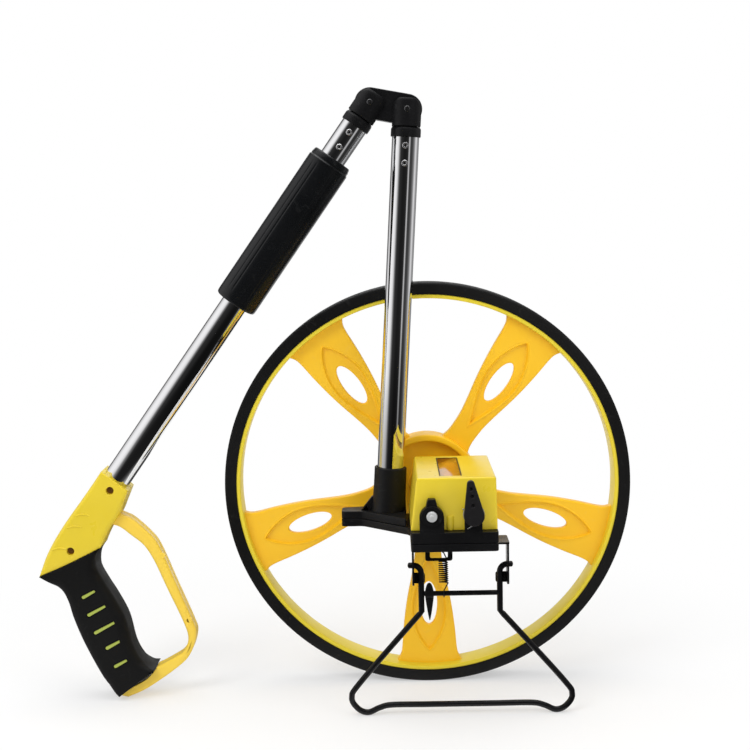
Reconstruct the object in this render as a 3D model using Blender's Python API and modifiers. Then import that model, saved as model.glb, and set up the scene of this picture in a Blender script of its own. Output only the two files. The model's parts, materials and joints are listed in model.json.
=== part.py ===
"""Folding measuring wheel standing on its wire stand, in metres, +Z up.

+X is to the right of the counter, and the counter, the tubes and the stand lie in front
of the wheel, towards -Y. The pieces are drawn with the origin on the floor below the middle
of the wheel, and then moved together, so that it lies below the middle of the whole object.
"""
import math

import bmesh
import bpy
from mathutils import Matrix, Vector

MM = 0.001

# Clearances
GAP = 0.3 * MM          # between pieces that touch or run on each other
OVERRUN = 2.0 * MM      # how far a cutter passes the face it opens

# Facets
FINE_STEPS = 72
MEDIUM_STEPS = 36
ROUND_STEPS = 24
SMALL_STEPS = 12
TINY_STEPS = 8
FEW_STEPS = 6
FLAT_ANGLE = math.radians(0.05)     # faces this close to one plane are joined

# Wheel
CIRCUMFERENCE = 1000.0 * MM
WHEEL_R = CIRCUMFERENCE / (2 * math.pi)
WHEEL_WIDTH = 24.0 * MM
TYRE_DEPTH = 9.3 * MM
TYRE_EDGE = 1.8 * MM
RIM_WALL = 2.8 * MM
RIM_INSET = 0.8 * MM
RIM_DRAFT = 0.7 * MM
HUB_R = 40.0 * MM
HUB_WALL = 5.0 * MM
HUB_INSET = 1.0 * MM
HUB_WEB = 3.0 * MM
HUB_BOSS_R = 13.0 * MM
SPOKE_COUNT = 5
SPOKE_THICKNESS = 8.0 * MM
SPOKE_FRONT = 4.5 * MM
LEAF_DEPTH = 2.4 * MM
AXLE_Z = WHEEL_R

# Axle, seen from the wheel's middle plane: forward is positive
AXLE_R = 3.8 * MM
AXLE_REACH = 118.5 * MM
AXLE_TAIL = 20.0 * MM
NUT_R = 7.5 * MM
NUT_T = 5.5 * MM
WASHER_R = 9.5 * MM
WASHER_T = 1.5 * MM
BUSH_R = 6.2 * MM
BUSH_FLANGE_R = 7.4 * MM
BUSH_FLANGE_T = 1.0 * MM

# Base: two layers of black moulding below the counter
BASE_LEFT = 15.0 * MM
BASE_RIGHT = 47.2 * MM
BASE_REAR = 17.5 * MM
BASE_FRONT = 115.5 * MM
BASE_DROP = 12.0 * MM       # axle down to the top of the upper layer
FRAME_T = 8.1 * MM
PLATE_T = 5.6 * MM
BASE_CORNER = 3.0 * MM
EAR_T = 6.5 * MM
EAR_HALF = 8.7 * MM
EAR_SHOULDER = 1.5 * MM     # axle down to where the ear's round top starts
NUB_HALF = 3.2 * MM
NUB_RISE = 12.0 * MM        # axle up to the top of the ear's nub
BASE_SCREW_INSET = 5.0 * MM
SCREW_R = 1.5 * MM
SCREW_HEAD_R = 3.0 * MM
SCREW_HEAD_T = 1.8 * MM

# Arm and socket that carry the tubes
TUBE_DEPTH = 30.0 * MM      # wheel's middle plane to the plane of the tubes
LUG_LEFT = 66.8 * MM
LUG_HALF = 5.0 * MM
LUG_BACK = 10.0 * MM
ARM_BEND = 50.5 * MM
ARM_FRONT = 66.0 * MM       # where the arm's front edge meets the base
FLANGE_T = 5.9 * MM
FLANGE_RIGHT = 17.6 * MM
FOOT_X = 30.5 * MM
TUBE_LEAN = math.radians(3.65)
SOCKET_RISE = 33.5 * MM
SOCKET_R = 12.3 * MM
SOCKET_FLARE = 1.3 * MM
SOCKET_FLOOR = 3.0 * MM
GUSSET_T = 4.0 * MM
GUSSET_REACH = 10.5 * MM
GUSSET_RISE = 11.0 * MM

# Tubes and the folding hinge
TUBE_R = 10.3 * MM
TUBE_WALL = 1.0 * MM
LOWER_REACH = 303.0 * MM    # socket foot to the lower hinge pin, along the tube
LINK_LENGTH = 27.9 * MM
LINK_LEAN = math.radians(-79.0)
UPPER_LEAN = math.radians(35.66)
LINK_R = 11.9 * MM
LINK_T = 11.4 * MM
FORK_R = 12.25 * MM
FORK_TOP = 8.2 * MM
FORK_CORNER = 5.5 * MM
FORK_SKIRT = 20.1 * MM      # pin down to the fork's lower edge
FORK_CUP = 5.5 * MM         # how far the tube goes into the fork
SPIGOT_WALL = 5.0 * MM
SPIGOT_LENGTH = 26.0 * MM
RIVET_AT = (26.5 * MM, 39.5 * MM)
RIVET_R = 1.7 * MM
RIVET_HEAD_R = 2.4 * MM
RIVET_HEAD_T = 0.7 * MM
PIN_R = 2.2 * MM
COLLAR_AT = 343.0 * MM      # upper pin down to the top of the handle
TUBE_END_CLEAR = 5.8 * MM   # tube's end in the handle to the lower screw

# Lock sleeve on the upper tube
SLEEVE_AT = 48.7 * MM       # upper pin down to the sleeve's upper end
SLEEVE_LENGTH = 131.4 * MM
SLEEVE_R = 16.5 * MM
SLEEVE_STEP = 1.2 * MM
SLEEVE_END = 3.0 * MM
SLEEVE_LIP = 12.0 * MM

# Handle: a along the tube, b across it, in shares of the handle's span
HANDLE_SPAN = 200.0 * MM
BODY_HALF = 13.2 * MM
BODY_ROUND = 4.5 * MM
CORE_HALF = 11.4 * MM
GUARD_HALF = 7.4 * MM
GUARD_ROUND = 2.4 * MM
GRIP_HALF = 14.6 * MM
GRIP_ROUND = 5.5 * MM
GRIP_WALL = 2.8 * MM
CORE_TOP = 8.0 * MM         # how far the grip's core runs on into the body
CORE_HEEL = 3.0 * MM        # and into the heel of the guard
HANDLE_TRIM = 12.0 * MM     # extra length of a blank before its ends are cut off
RIB_HALF = 1.35 * MM
RIB_SINK = 0.3 * MM         # how far the ribs end below the grip's face
RIB_LENGTHS = (11.7 * MM, 16.4 * MM, 19.5 * MM, 14.0 * MM, 11.7 * MM)
COUNTERBORE_R = 3.0 * MM
GUARD_BORE_R = 1.7 * MM
HANDLE_SCREW_R = 1.4 * MM
GUARD_SCREW_R = 0.9 * MM
HEAD_SINK = 1.0 * MM
HEAD_T = 1.2 * MM
GUARD_HEAD_R = 1.4 * MM

# Counter box
COVER_REAR = 25.0 * MM
COVER_FRONT = 108.5 * MM
COVER_LEFT = 14.8 * MM
COVER_RIGHT = 47.0 * MM
COVER_TOP_LEFT = 10.3 * MM
COVER_TOP_RIGHT = 46.2 * MM
COVER_TOP = 26.0 * MM       # axle up to the box's top
COVER_WALL = 2.0 * MM
COVER_EDGE = 1.2 * MM
POST_R = 3.4 * MM
POST_RISE = 14.0 * MM
BOSS_X = 13.2 * MM
BOSS_R = 3.3 * MM
BOSS_RISE = 10.5 * MM
WINDOW_LEFT = 6.2 * MM
WINDOW_RIGHT = 22.4 * MM
WINDOW_REAR = 31.5 * MM
WINDOW_FRONT = 101.0 * MM

# Counter works
DRUM_X = 14.3 * MM
DRUM_R = 10.0 * MM
DRUM_TOP_CLEAR = 1.4 * MM
DRUM_COUNT = 5
DRUM_PITCH = 12.0 * MM
DRUM_WIDTH = 11.4 * MM
DRUM_FIRST = 34.0 * MM
DRUM_SHAFT_R = 2.0 * MM
GEAR_TEETH = 24
GEAR_WIDTH = 4.0 * MM
GEAR_ADDENDUM = 0.65 * MM
GEAR_DEDENDUM = 0.95 * MM
GEAR_SPACE = 1.0 * MM       # drums to the gear
CARRIER_T = 1.5 * MM
CARRIER_SPACE = 1.6 * MM
CARRIER_MARGIN = 4.5 * MM
RESET_X = 29.4 * MM
RESET_RISE = 1.5 * MM
RESET_SHAFT_R = 2.5 * MM
COMB_R = 4.0 * MM
FINGER_HALF = 1.1 * MM
FINGER_WIDTH = 5.0 * MM
FINGER_CLEAR = 0.8 * MM
COMB_TURN = math.radians(50)    # how far the fingers stand off the drums at rest

# Reset lever and its spring
LEVER_EAR_HALF = 6.2 * MM
LEVER_HUB_R = 5.4 * MM
LEVER_STANDOFF = 5.2 * MM   # ear to the lever's arm, filled by the spring
LEVER_T = 3.6 * MM
LEVER_R = 7.3 * MM
LEVER_TIP_HALF = 2.7 * MM
LEVER_LENGTH = 25.5 * MM
LEVER_TILT = math.radians(5.5)
DIMPLE_R = 1.3 * MM
DIMPLE_DEPTH = 0.8 * MM
DIMPLE_AT = (19.5 * MM, 14.2 * MM, 7.6 * MM)
COIL_WIRE_R = 0.45 * MM
COIL_R = 7.2 * MM
COIL_TURNS = 2
COIL_PITCH = 1.4 * MM
COIL_LEG = 9.0 * MM

# Stand
STAND_DEPTH = 80.0 * MM
STAND_X = 21.4 * MM
PIVOT_DROP = 19.0 * MM      # underside of the base down to the stand's pivots
WIRE_R = 2.2 * MM
LEG_HALF = 28.95 * MM
LEG_TIP_HALF = 37.5 * MM
KNEE_Z = 79.0 * MM
FOOT_HALF = 82.0 * MM
FOOT_Z = 14.0 * MM
SHIN_HALF = 74.5 * MM
SHIN_Z = 26.5 * MM
HEEL_HALF = 70.0 * MM
RAIL_HALF = 52.0 * MM
RAIL_RISE = 5.5 * MM        # the rail between the feet above the feet
BRACKET_T = 1.5 * MM
BRACKET_HALF = 34.0 * MM
BRACKET_FRONT = 10.0 * MM   # pivots to the strap's front edge
BRACKET_BACK = 12.0 * MM    # and to its back edge, where the anchor hangs
EAR_WIDTH = 12.0 * MM
EAR_BELOW = 14.5 * MM       # pivot down to the ear's lower end
TAB_LENGTH = 8.0 * MM
TAB_HEIGHT = 8.0 * MM
CROSSBAR_R = 1.9 * MM
CROSSBAR_DROP = 21.5 * MM   # pivots down to the crossbar
ANCHOR_X = 6.2 * MM
ANCHOR_HALF = 10.2 * MM
ANCHOR_DROP = 12.0 * MM     # underside of the plate down to the anchor's lower edge
ANCHOR_BAR = 2.2 * MM
ANCHOR_LEG = 4.4 * MM
BRACKET_SCREW_X = (-4.0 * MM, 47.0 * MM)

# Spring that holds the stand down or up, and the pointer
SPRING_X = 9.1 * MM
SPRING_WIRE_R = 0.5 * MM
SPRING_R = 3.3 * MM
SPRING_TURNS = 11
SPRING_PITCH = 1.5 * MM
HOOK_SIDES = 10
POINTER_X = 1.6 * MM
POINTER_HALF = 3.3 * MM
POINTER_T = 3.6 * MM
POINTER_UP = 8.0 * MM
POINTER_DOWN = 20.0 * MM

# Half-widths of a spoke against the distance from the axle, in shares of the wheel's radius
SPOKE_EDGE_SHARES = (
    (0.232, 0.080), (0.270, 0.068), (0.315, 0.065), (0.390, 0.069), (0.475, 0.084),
    (0.565, 0.103), (0.655, 0.118), (0.755, 0.130), (0.840, 0.137), (0.880, 0.145),
    (0.905, 0.160), (0.926, 0.190))
LEAF_START_SHARE = 0.360
LEAF_END_SHARE = 0.852
LEAF_HALF_SHARE = 0.084
HOLE_CENTRE_SHARE = 0.616
HOLE_LENGTH_SHARE = 0.112
HOLE_HALF_SHARE = 0.042

# Handle outlines, (a, b) in shares of the handle's span
BODY_LEFT_SHARES = ((0.0, -0.062), (0.118, -0.063), (0.245, -0.066), (0.335, -0.063), (0.41, -0.053),
                    (0.478, -0.034))
BODY_GRIP_SHARES = ((0.478, -0.034), (0.377, 0.029), (0.25, 0.098))
BODY_RIGHT_SHARES = ((0.25, 0.098), (0.229, 0.094), (0.168, 0.086), (0.109, 0.086), (0.05, 0.074),
                     (0.0, 0.062))
GUARD_OUTER_SHARES = ((0.109, 0.070), (0.101, 0.105), (0.097, 0.140), (0.108, 0.220), (0.131, 0.284),
                      (0.219, 0.421), (0.302, 0.550), (0.339, 0.592), (0.410, 0.615), (0.479, 0.609),
                      (0.623, 0.558), (0.702, 0.5125))
HEEL_SHARES = ((0.702, 0.5125), (0.706, 0.484), (0.661, 0.502), (0.596, 0.532), (0.537, 0.538))
GUARD_INNER_SHARES = ((0.537, 0.538), (0.470, 0.571), (0.423, 0.588), (0.373, 0.576), (0.330, 0.528),
                      (0.247, 0.392), (0.188, 0.297), (0.159, 0.230), (0.153, 0.165), (0.151, 0.110),
                      (0.168, 0.070))
GRIP_LEFT_SHARES = ((0.480, -0.034), (0.4815, 0.008), (0.4815, 0.064), (0.507, 0.112), (0.550, 0.164),
                    (0.608, 0.250), (0.676, 0.374), (0.700, 0.441), (0.706, 0.482))
GRIP_RIGHT_SHARES = ((0.537, 0.536), (0.546, 0.509), (0.536, 0.461), (0.506, 0.409), (0.438, 0.333),
                     (0.394, 0.255), (0.363, 0.187), (0.333, 0.132), (0.291, 0.101), (0.250, 0.098))
RIB_CENTRE_SHARES = ((0.428, 0.161), (0.464, 0.222), (0.502, 0.285), (0.540, 0.349), (0.588, 0.413))
RIB_DIRECTION_SHARES = (-0.896, 0.444)
BIG_SCREW_SHARES = ((0.042, 0.006), (0.326, 0.011))
GUARD_SCREW_SHARES = ((0.150, 0.310), (0.305, 0.537))

# Sizes that follow from the ones above
TYRE_INNER_R = WHEEL_R - TYRE_DEPTH
RIM_OUTER_R = TYRE_INNER_R - GAP
RIM_INNER_R = RIM_OUTER_R - RIM_WALL
HALF_WIDTH = WHEEL_WIDTH / 2
HUB_HALF = HALF_WIDTH - HUB_INSET
BASE_TOP = AXLE_Z - BASE_DROP
FRAME_BOTTOM = BASE_TOP - FRAME_T
PLATE_TOP = FRAME_BOTTOM - GAP
PLATE_BOTTOM = PLATE_TOP - PLATE_T
FLANGE_TOP = FRAME_BOTTOM + FLANGE_T
FRONT_EAR = BASE_FRONT - EAR_T
COVER_BOTTOM = BASE_TOP + GAP
COVER_TOP_Z = AXLE_Z + COVER_TOP
DRUM_Z = COVER_TOP_Z - COVER_WALL - DRUM_TOP_CLEAR - DRUM_R
RESET_Z = AXLE_Z + RESET_RISE
GEAR_DEPTH = DRUM_FIRST + DRUM_COUNT * DRUM_PITCH + GEAR_SPACE
CARRIER_REAR = DRUM_FIRST - CARRIER_SPACE - CARRIER_T
CARRIER_FRONT = GEAR_DEPTH + GEAR_WIDTH + CARRIER_SPACE
FOOT = Vector((-FOOT_X, -TUBE_DEPTH, FLANGE_TOP))
PIVOT_Z = PLATE_BOTTOM - PIVOT_DROP
CROSSBAR_Z = PIVOT_Z - CROSSBAR_DROP
BRACKET_TOP = PLATE_BOTTOM - GAP
BRACKET_BOTTOM = BRACKET_TOP - BRACKET_T
ANCHOR_BOTTOM = PLATE_BOTTOM - ANCHOR_DROP
TUBE_IN_HANDLE = BIG_SCREW_SHARES[1][0] * HANDLE_SPAN - HANDLE_SCREW_R - TUBE_END_CLEAR

PARTS = "measuring_wheel"

# Colour, roughness and metallic value of each material
MATERIALS = {
    "yellow": ((0.93, 0.60, 0.02), 0.35, 0.0),
    "lemon": ((0.88, 0.72, 0.05), 0.35, 0.0),
    "black": ((0.015, 0.015, 0.018), 0.45, 0.0),
    "rubber": ((0.02, 0.02, 0.022), 0.75, 0.0),
    "grip": ((0.025, 0.025, 0.027), 0.7, 0.0),
    "chrome": ((0.75, 0.75, 0.76), 0.15, 1.0),
    "steel": ((0.55, 0.56, 0.58), 0.3, 1.0),
    "wire": ((0.02, 0.02, 0.022), 0.4, 0.0),
    "amber": ((0.75, 0.32, 0.02), 0.1, 0.0),
    "nylon": ((0.85, 0.84, 0.80), 0.5, 0.0),
}


def clear_scene():
    for obj in list(bpy.data.objects):
        bpy.data.objects.remove(obj, do_unlink=True)


def material(name):
    found = bpy.data.materials.get(name)
    if found:
        return found
    colour, roughness, metallic = MATERIALS[name]
    made = bpy.data.materials.new(name)
    made.use_nodes = True
    shader = made.node_tree.nodes["Principled BSDF"]
    shader.inputs["Base Color"].default_value = (*colour, 1.0)
    shader.inputs["Roughness"].default_value = roughness
    shader.inputs["Metallic"].default_value = metallic
    return made


# Frames: where a shape drawn in its own coordinates goes

def frame(origin, x_dir, y_dir):
    x_axis = Vector(x_dir).normalized()
    z_axis = x_axis.cross(Vector(y_dir)).normalized()
    y_axis = z_axis.cross(x_axis)
    matrix = Matrix((x_axis, y_axis, z_axis)).transposed().to_4x4()
    matrix.translation = Vector(origin)
    return matrix


def facing(x=0.0, z=0.0):
    """Drawing plane that faces the front: x right, y up, z forward from the wheel's plane."""
    return frame((x, 0.0, z), (1, 0, 0), (0, 0, 1))


def leaning(origin, lean):
    """Drawing plane of the tubes, with y along an axis that leans from upright towards +X."""
    return frame(origin, (math.cos(lean), 0, -math.sin(lean)), (math.sin(lean), 0, math.cos(lean)))


def along(origin, lean):
    """Turning frame whose z runs up an axis that leans from upright towards +X."""
    axis = Vector((math.sin(lean), 0, math.cos(lean)))
    x_axis = Vector((math.cos(lean), 0, -math.sin(lean)))
    return frame(origin, x_axis, axis.cross(x_axis))


def up_axis(lean):
    return Vector((math.sin(lean), 0, math.cos(lean)))


# Shapes

def collection(name):
    found = bpy.data.collections.get(name)
    if not found:
        found = bpy.data.collections.new(name)
        bpy.context.scene.collection.children.link(found)
    return found


def baked(obj, matrix):
    """Replace an object by its evaluated mesh, welded, closed and placed by the matrix."""
    bpy.context.view_layer.update()
    graph = bpy.context.evaluated_depsgraph_get()
    mesh = bpy.data.meshes.new_from_object(obj.evaluated_get(graph))
    name = obj.name
    bpy.data.objects.remove(obj, do_unlink=True)
    body = bmesh.new()
    body.from_mesh(mesh)
    bmesh.ops.remove_doubles(body, verts=body.verts, dist=GAP / 100)
    bmesh.ops.dissolve_limit(body, angle_limit=FLAT_ANGLE, verts=body.verts, edges=body.edges)
    bmesh.ops.triangulate(body, faces=body.faces)
    bmesh.ops.transform(body, matrix=matrix, verts=body.verts)
    bmesh.ops.recalc_face_normals(body, faces=body.faces)
    body.to_mesh(mesh)
    body.free()
    made = bpy.data.objects.new(name, mesh)
    made.name = name
    collection("work").objects.link(made)
    return made


def turned(name, profile, matrix, steps=ROUND_STEPS, ring=False):
    """Turn a profile of (radius, height) pairs, given top to bottom, about the frame's z."""
    mesh = bpy.data.meshes.new(name)
    edges = [(i, i + 1) for i in range(len(profile) - 1)]
    if ring:
        edges.append((len(profile) - 1, 0))
    mesh.from_pydata([(r, 0, h) for r, h in profile], edges, [])
    obj = bpy.data.objects.new(name, mesh)
    collection("work").objects.link(obj)
    screw = obj.modifiers.new("turn", "SCREW")
    screw.axis = "Z"
    screw.steps = steps
    screw.render_steps = steps
    screw.use_merge_vertices = True
    screw.merge_threshold = GAP / 100
    return baked(obj, matrix)


def rod(name, radius, low, high, matrix, steps=ROUND_STEPS, chamfer=0.0):
    """Round bar along the frame's z, from low to high."""
    profile = [(0.0, high), (radius - chamfer, high)]
    if chamfer:
        profile += [(radius, high - chamfer), (radius, low + chamfer)]
    else:
        profile[-1] = (radius, high)
    profile += [(radius - chamfer, low), (0.0, low)]
    return turned(name, profile, matrix, steps)


def tube(name, outer, inner, low, high, matrix, steps=ROUND_STEPS):
    profile = [(inner, high), (outer, high), (outer, low), (inner, low)]
    return turned(name, profile, matrix, steps, ring=True)


def plate(name, outlines, low, high, matrix, rounding=0.0, rings=1):
    """Flat outlines in the frame's xy plane, with thickness from low to high along z."""
    curve = bpy.data.curves.new(name, "CURVE")
    curve.dimensions = "2D"
    curve.fill_mode = "BOTH"
    curve.extrude = (high - low) / 2 - rounding
    curve.bevel_depth = rounding
    curve.bevel_resolution = rings
    curve.offset = -rounding
    for outline in outlines:
        spline = curve.splines.new("POLY")
        spline.points.add(len(outline) - 1)
        for point, (x, y) in zip(spline.points, outline):
            point.co = (x, y, 0, 1)
        spline.use_cyclic_u = True
    obj = bpy.data.objects.new(name, curve)
    collection("work").objects.link(obj)
    return baked(obj, matrix @ Matrix.Translation((0, 0, (low + high) / 2)))


def block(name, low, high, matrix=None, edge=0.0):
    """Box between two corners, with bevelled edges where an edge size is given."""
    mesh = bpy.data.meshes.new(name)
    body = bmesh.new()
    bmesh.ops.create_cube(body, size=1.0)
    low = Vector(low)
    high = Vector(high)
    size = high - low
    bmesh.ops.scale(body, vec=size, verts=body.verts)
    bmesh.ops.translate(body, vec=(low + high) / 2, verts=body.verts)
    body.to_mesh(mesh)
    body.free()
    obj = bpy.data.objects.new(name, mesh)
    collection("work").objects.link(obj)
    if edge:
        bevel = obj.modifiers.new("edge", "BEVEL")
        bevel.width = edge
        bevel.segments = 2
    return baked(obj, matrix or Matrix.Identity(4))


def wire(name, points, radius, cyclic=False, sides=1):
    """Round wire through points, with filled ends."""
    curve = bpy.data.curves.new(name, "CURVE")
    curve.dimensions = "3D"
    curve.bevel_depth = radius
    curve.bevel_resolution = sides
    curve.use_fill_caps = True
    spline = curve.splines.new("POLY")
    spline.points.add(len(points) - 1)
    for point, place in zip(spline.points, points):
        point.co = (*place, 1)
    spline.use_cyclic_u = cyclic
    obj = bpy.data.objects.new(name, curve)
    collection("work").objects.link(obj)
    return baked(obj, Matrix.Identity(4))


def combined(obj, others, operation):
    """Join or cut a solid with others, which are used up."""
    for other in others:
        change = obj.modifiers.new("change", "BOOLEAN")
        change.operation = operation
        change.object = other
        name = obj.name
        obj = baked(obj, Matrix.Identity(4))
        obj.name = name
        bpy.data.objects.remove(other, do_unlink=True)
    return obj


def join(obj, *others):
    return combined(obj, others, "UNION")


def cut(obj, *others):
    return combined(obj, others, "DIFFERENCE")


def common(obj, other):
    return combined(obj, [other], "INTERSECT")


def node(name, obj, material_name, origin, angle=35):
    """Finish a sub-part: name, material, smooth shading, and its origin at a given place."""
    obj.name = name
    obj.data.name = name
    obj.data.materials.clear()
    obj.data.materials.append(material(material_name))
    obj.data.transform(Matrix.Translation(-Vector(origin)))
    obj.location = origin
    obj.data.shade_smooth()
    obj.data.set_sharp_from_angle(angle=math.radians(angle))
    for owner in list(obj.users_collection):
        owner.objects.unlink(obj)
    collection(PARTS).objects.link(obj)
    return obj


def like_nodes(name, pieces, material_name, origin):
    """Number like pieces, such as a set of screws, each as a node of its own."""
    for i, piece in enumerate(pieces):
        node(f"{name}_{i + 1}", piece, material_name, origin)


# Outlines

def arc(centre, radius, start, stop, steps):
    """Points of a round stretch, with the angles in degrees."""
    points = []
    for i in range(steps + 1):
        angle = math.radians(start + (stop - start) * i / steps)
        points.append((centre[0] + radius * math.cos(angle), centre[1] + radius * math.sin(angle)))
    return points


def rounded(x0, x1, y0, y1, radius, steps=3):
    """Rectangle with round corners."""
    return (arc((x1 - radius, y1 - radius), radius, 0, 90, steps)
            + arc((x0 + radius, y1 - radius), radius, 90, 180, steps)
            + arc((x0 + radius, y0 + radius), radius, 180, 270, steps)
            + arc((x1 - radius, y0 + radius), radius, 270, 360, steps))


def smoothed(points, steps=3):
    """Smooth stretch through the points, with its ends kept."""
    result = []
    last = len(points) - 1
    for i in range(last):
        p0 = Vector(points[max(i - 1, 0)])
        p1 = Vector(points[i])
        p2 = Vector(points[i + 1])
        p3 = Vector(points[min(i + 2, last)])
        for k in range(steps):
            t = k / steps
            place = 0.5 * (2 * p1 + (p2 - p0) * t + (2 * p0 - 5 * p1 + 4 * p2 - p3) * t ** 2
                           + (3 * p1 - p0 - 3 * p2 + p3) * t ** 3)
            result.append(tuple(place))
    result.append(tuple(points[last]))
    return result


def scaled(shares, size):
    return [tuple(share * size for share in point) for point in shares]


def area(outline):
    total = 0.0
    for (x0, y0), (x1, y1) in zip(outline, outline[1:] + outline[:1]):
        total += x0 * y1 - x1 * y0
    return total / 2


def offset(outline, distance):
    """Move a closed outline outwards by a distance, or inwards where it is negative."""
    turn = 1 if area(outline) > 0 else -1
    result = []
    count = len(outline)
    for i in range(count):
        before = Vector(outline[i - 1])
        here = Vector(outline[i])
        after = Vector(outline[(i + 1) % count])
        ahead = (here - before).normalized()
        away = (after - here).normalized()
        normal_0 = Vector((ahead.y, -ahead.x)) * turn
        normal_1 = Vector((away.y, -away.x)) * turn
        both = normal_0 + normal_1
        scale = 2 / max(both.length_squared, 1)
        result.append(tuple(here + both * scale * distance))
    return result


# Wheel

def spoke_edge():
    """Spoke from inside the hub's flange to the middle of the rim's wall."""
    upper = scaled(SPOKE_EDGE_SHARES, WHEEL_R)
    end_r = RIM_INNER_R + RIM_WALL / 2
    spread = math.degrees(math.asin(upper[-1][1] / end_r))
    end = arc((0.0, 0.0), end_r, spread, -spread, FEW_STEPS)
    return upper[:-1] + end + [(x, -y) for x, y in reversed(upper[:-1])]


def leaf():
    """Pointed hollow in a spoke: narrow at the hub, round towards the rim."""
    start = LEAF_START_SHARE * WHEEL_R
    length = (LEAF_END_SHARE - LEAF_START_SHARE) * WHEEL_R
    half = LEAF_HALF_SHARE * WHEEL_R
    points = []
    steps = SMALL_STEPS
    for i in range(steps + 1):
        t = i / steps
        wide = half * math.sin(math.pi * t ** 1.25) ** 0.8 if 0 < i < steps else 0.0
        points.append((start + length * t, wide))
    return points + [(x, -y) for x, y in reversed(points[1:-1])]


def oval(centre, length, half, steps=SMALL_STEPS):
    points = []
    for i in range(steps):
        angle = 2 * math.pi * i / steps
        points.append((centre + length * math.cos(angle), half * math.sin(angle)))
    return points


def wheel():
    bore = AXLE_R + GAP
    web_front = HUB_WEB / 2
    wall = HUB_R - HUB_WALL
    hub = turned("hub", [
        (bore, HUB_HALF), (HUB_BOSS_R, HUB_HALF), (HUB_BOSS_R, web_front), (wall, web_front),
        (wall, HUB_HALF), (HUB_R, HUB_HALF), (HUB_R, -HUB_HALF), (wall, -HUB_HALF), (wall, -web_front),
        (HUB_BOSS_R, -web_front), (HUB_BOSS_R, -HUB_HALF), (bore, -HUB_HALF)],
        facing(z=AXLE_Z), MEDIUM_STEPS, ring=True)
    rim_half = HALF_WIDTH - RIM_INSET
    rim = turned("rim", [
        (RIM_INNER_R, rim_half), (RIM_OUTER_R, rim_half), (RIM_OUTER_R, -rim_half),
        (RIM_INNER_R, -rim_half), (RIM_INNER_R - RIM_DRAFT, 0.0)], facing(z=AXLE_Z), FINE_STEPS, ring=True)
    spokes = []
    hollows = []
    for i in range(SPOKE_COUNT):
        heading = math.radians(270 + i * 360 / SPOKE_COUNT)
        turn = facing(z=AXLE_Z) @ Matrix.Rotation(heading, 4, "Z")
        hole = oval(HOLE_CENTRE_SHARE * WHEEL_R, HOLE_LENGTH_SHARE * WHEEL_R, HOLE_HALF_SHARE * WHEEL_R)
        back = SPOKE_FRONT - SPOKE_THICKNESS
        spokes.append(plate("spoke", [spoke_edge(), hole], back, SPOKE_FRONT, turn))
        hollows.append(plate("leaf", [leaf()], SPOKE_FRONT - LEAF_DEPTH, SPOKE_FRONT + OVERRUN, turn))
    body = cut(join(hub, *spokes, rim), *hollows)
    node("wheel", body, "yellow", (0, 0, AXLE_Z), 30)


def tyre():
    half = HALF_WIDTH
    profile = [(TYRE_INNER_R, half), (WHEEL_R - TYRE_EDGE, half), (WHEEL_R, half - TYRE_EDGE),
               (WHEEL_R, TYRE_EDGE - half), (WHEEL_R - TYRE_EDGE, -half), (TYRE_INNER_R, -half)]
    ring = turned("tyre", profile, facing(z=AXLE_Z), FINE_STEPS, ring=True)
    node("tyre", ring, "rubber", (0, 0, AXLE_Z))


def axle():
    centre = (0, 0, AXLE_Z)
    shaft = rod("axle", AXLE_R, -AXLE_TAIL, AXLE_REACH, facing(z=AXLE_Z), SMALL_STEPS, TYRE_EDGE / 4)
    node("axle", shaft, "steel", centre)
    washer_front = -HUB_HALF - GAP
    bore = AXLE_R + GAP
    washer = tube("axle_washer", WASHER_R, bore, washer_front - WASHER_T, washer_front,
                  facing(z=AXLE_Z), SMALL_STEPS)
    node("axle_washer", washer, "steel", centre)
    nut_front = washer_front - WASHER_T - GAP
    outline = arc((0.0, 0.0), NUT_R, 0, 300, 5)
    hole = circle((0.0, 0.0), bore)
    nut = plate("axle_nut", [outline, hole], nut_front - NUT_T, nut_front, facing(z=AXLE_Z))
    node("axle_nut", nut, "steel", centre)


def bush(name, flange_at, through, facing_forward):
    """Flanged bush for the axle: the flange lies against one face of an ear."""
    bore = AXLE_R + GAP
    side = 1 if facing_forward else -1
    low = flange_at - side * through
    high = flange_at + side * GAP
    outer = flange_at + side * (GAP + BUSH_FLANGE_T)
    profile = [(bore, outer), (BUSH_FLANGE_R, outer), (BUSH_FLANGE_R, high), (BUSH_R, high), (BUSH_R, low),
               (bore, low)]
    node(name, turned(name, profile, facing(z=AXLE_Z), SMALL_STEPS, ring=True), "black", (0, 0, AXLE_Z))


def gear_outline(radius, teeth, phase):
    """Tooth outline with straight flanks: the teeth are a little narrower than the gaps."""
    step = 2 * math.pi / teeth
    points = []
    for i in range(teeth):
        middle = (i + phase) * step
        for share, height in ((-0.29, -GEAR_DEDENDUM), (-0.13, GEAR_ADDENDUM),
                              (0.13, GEAR_ADDENDUM), (0.29, -GEAR_DEDENDUM)):
            angle = middle + share * step
            points.append(((radius + height) * math.cos(angle), (radius + height) * math.sin(angle)))
    return points


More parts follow.
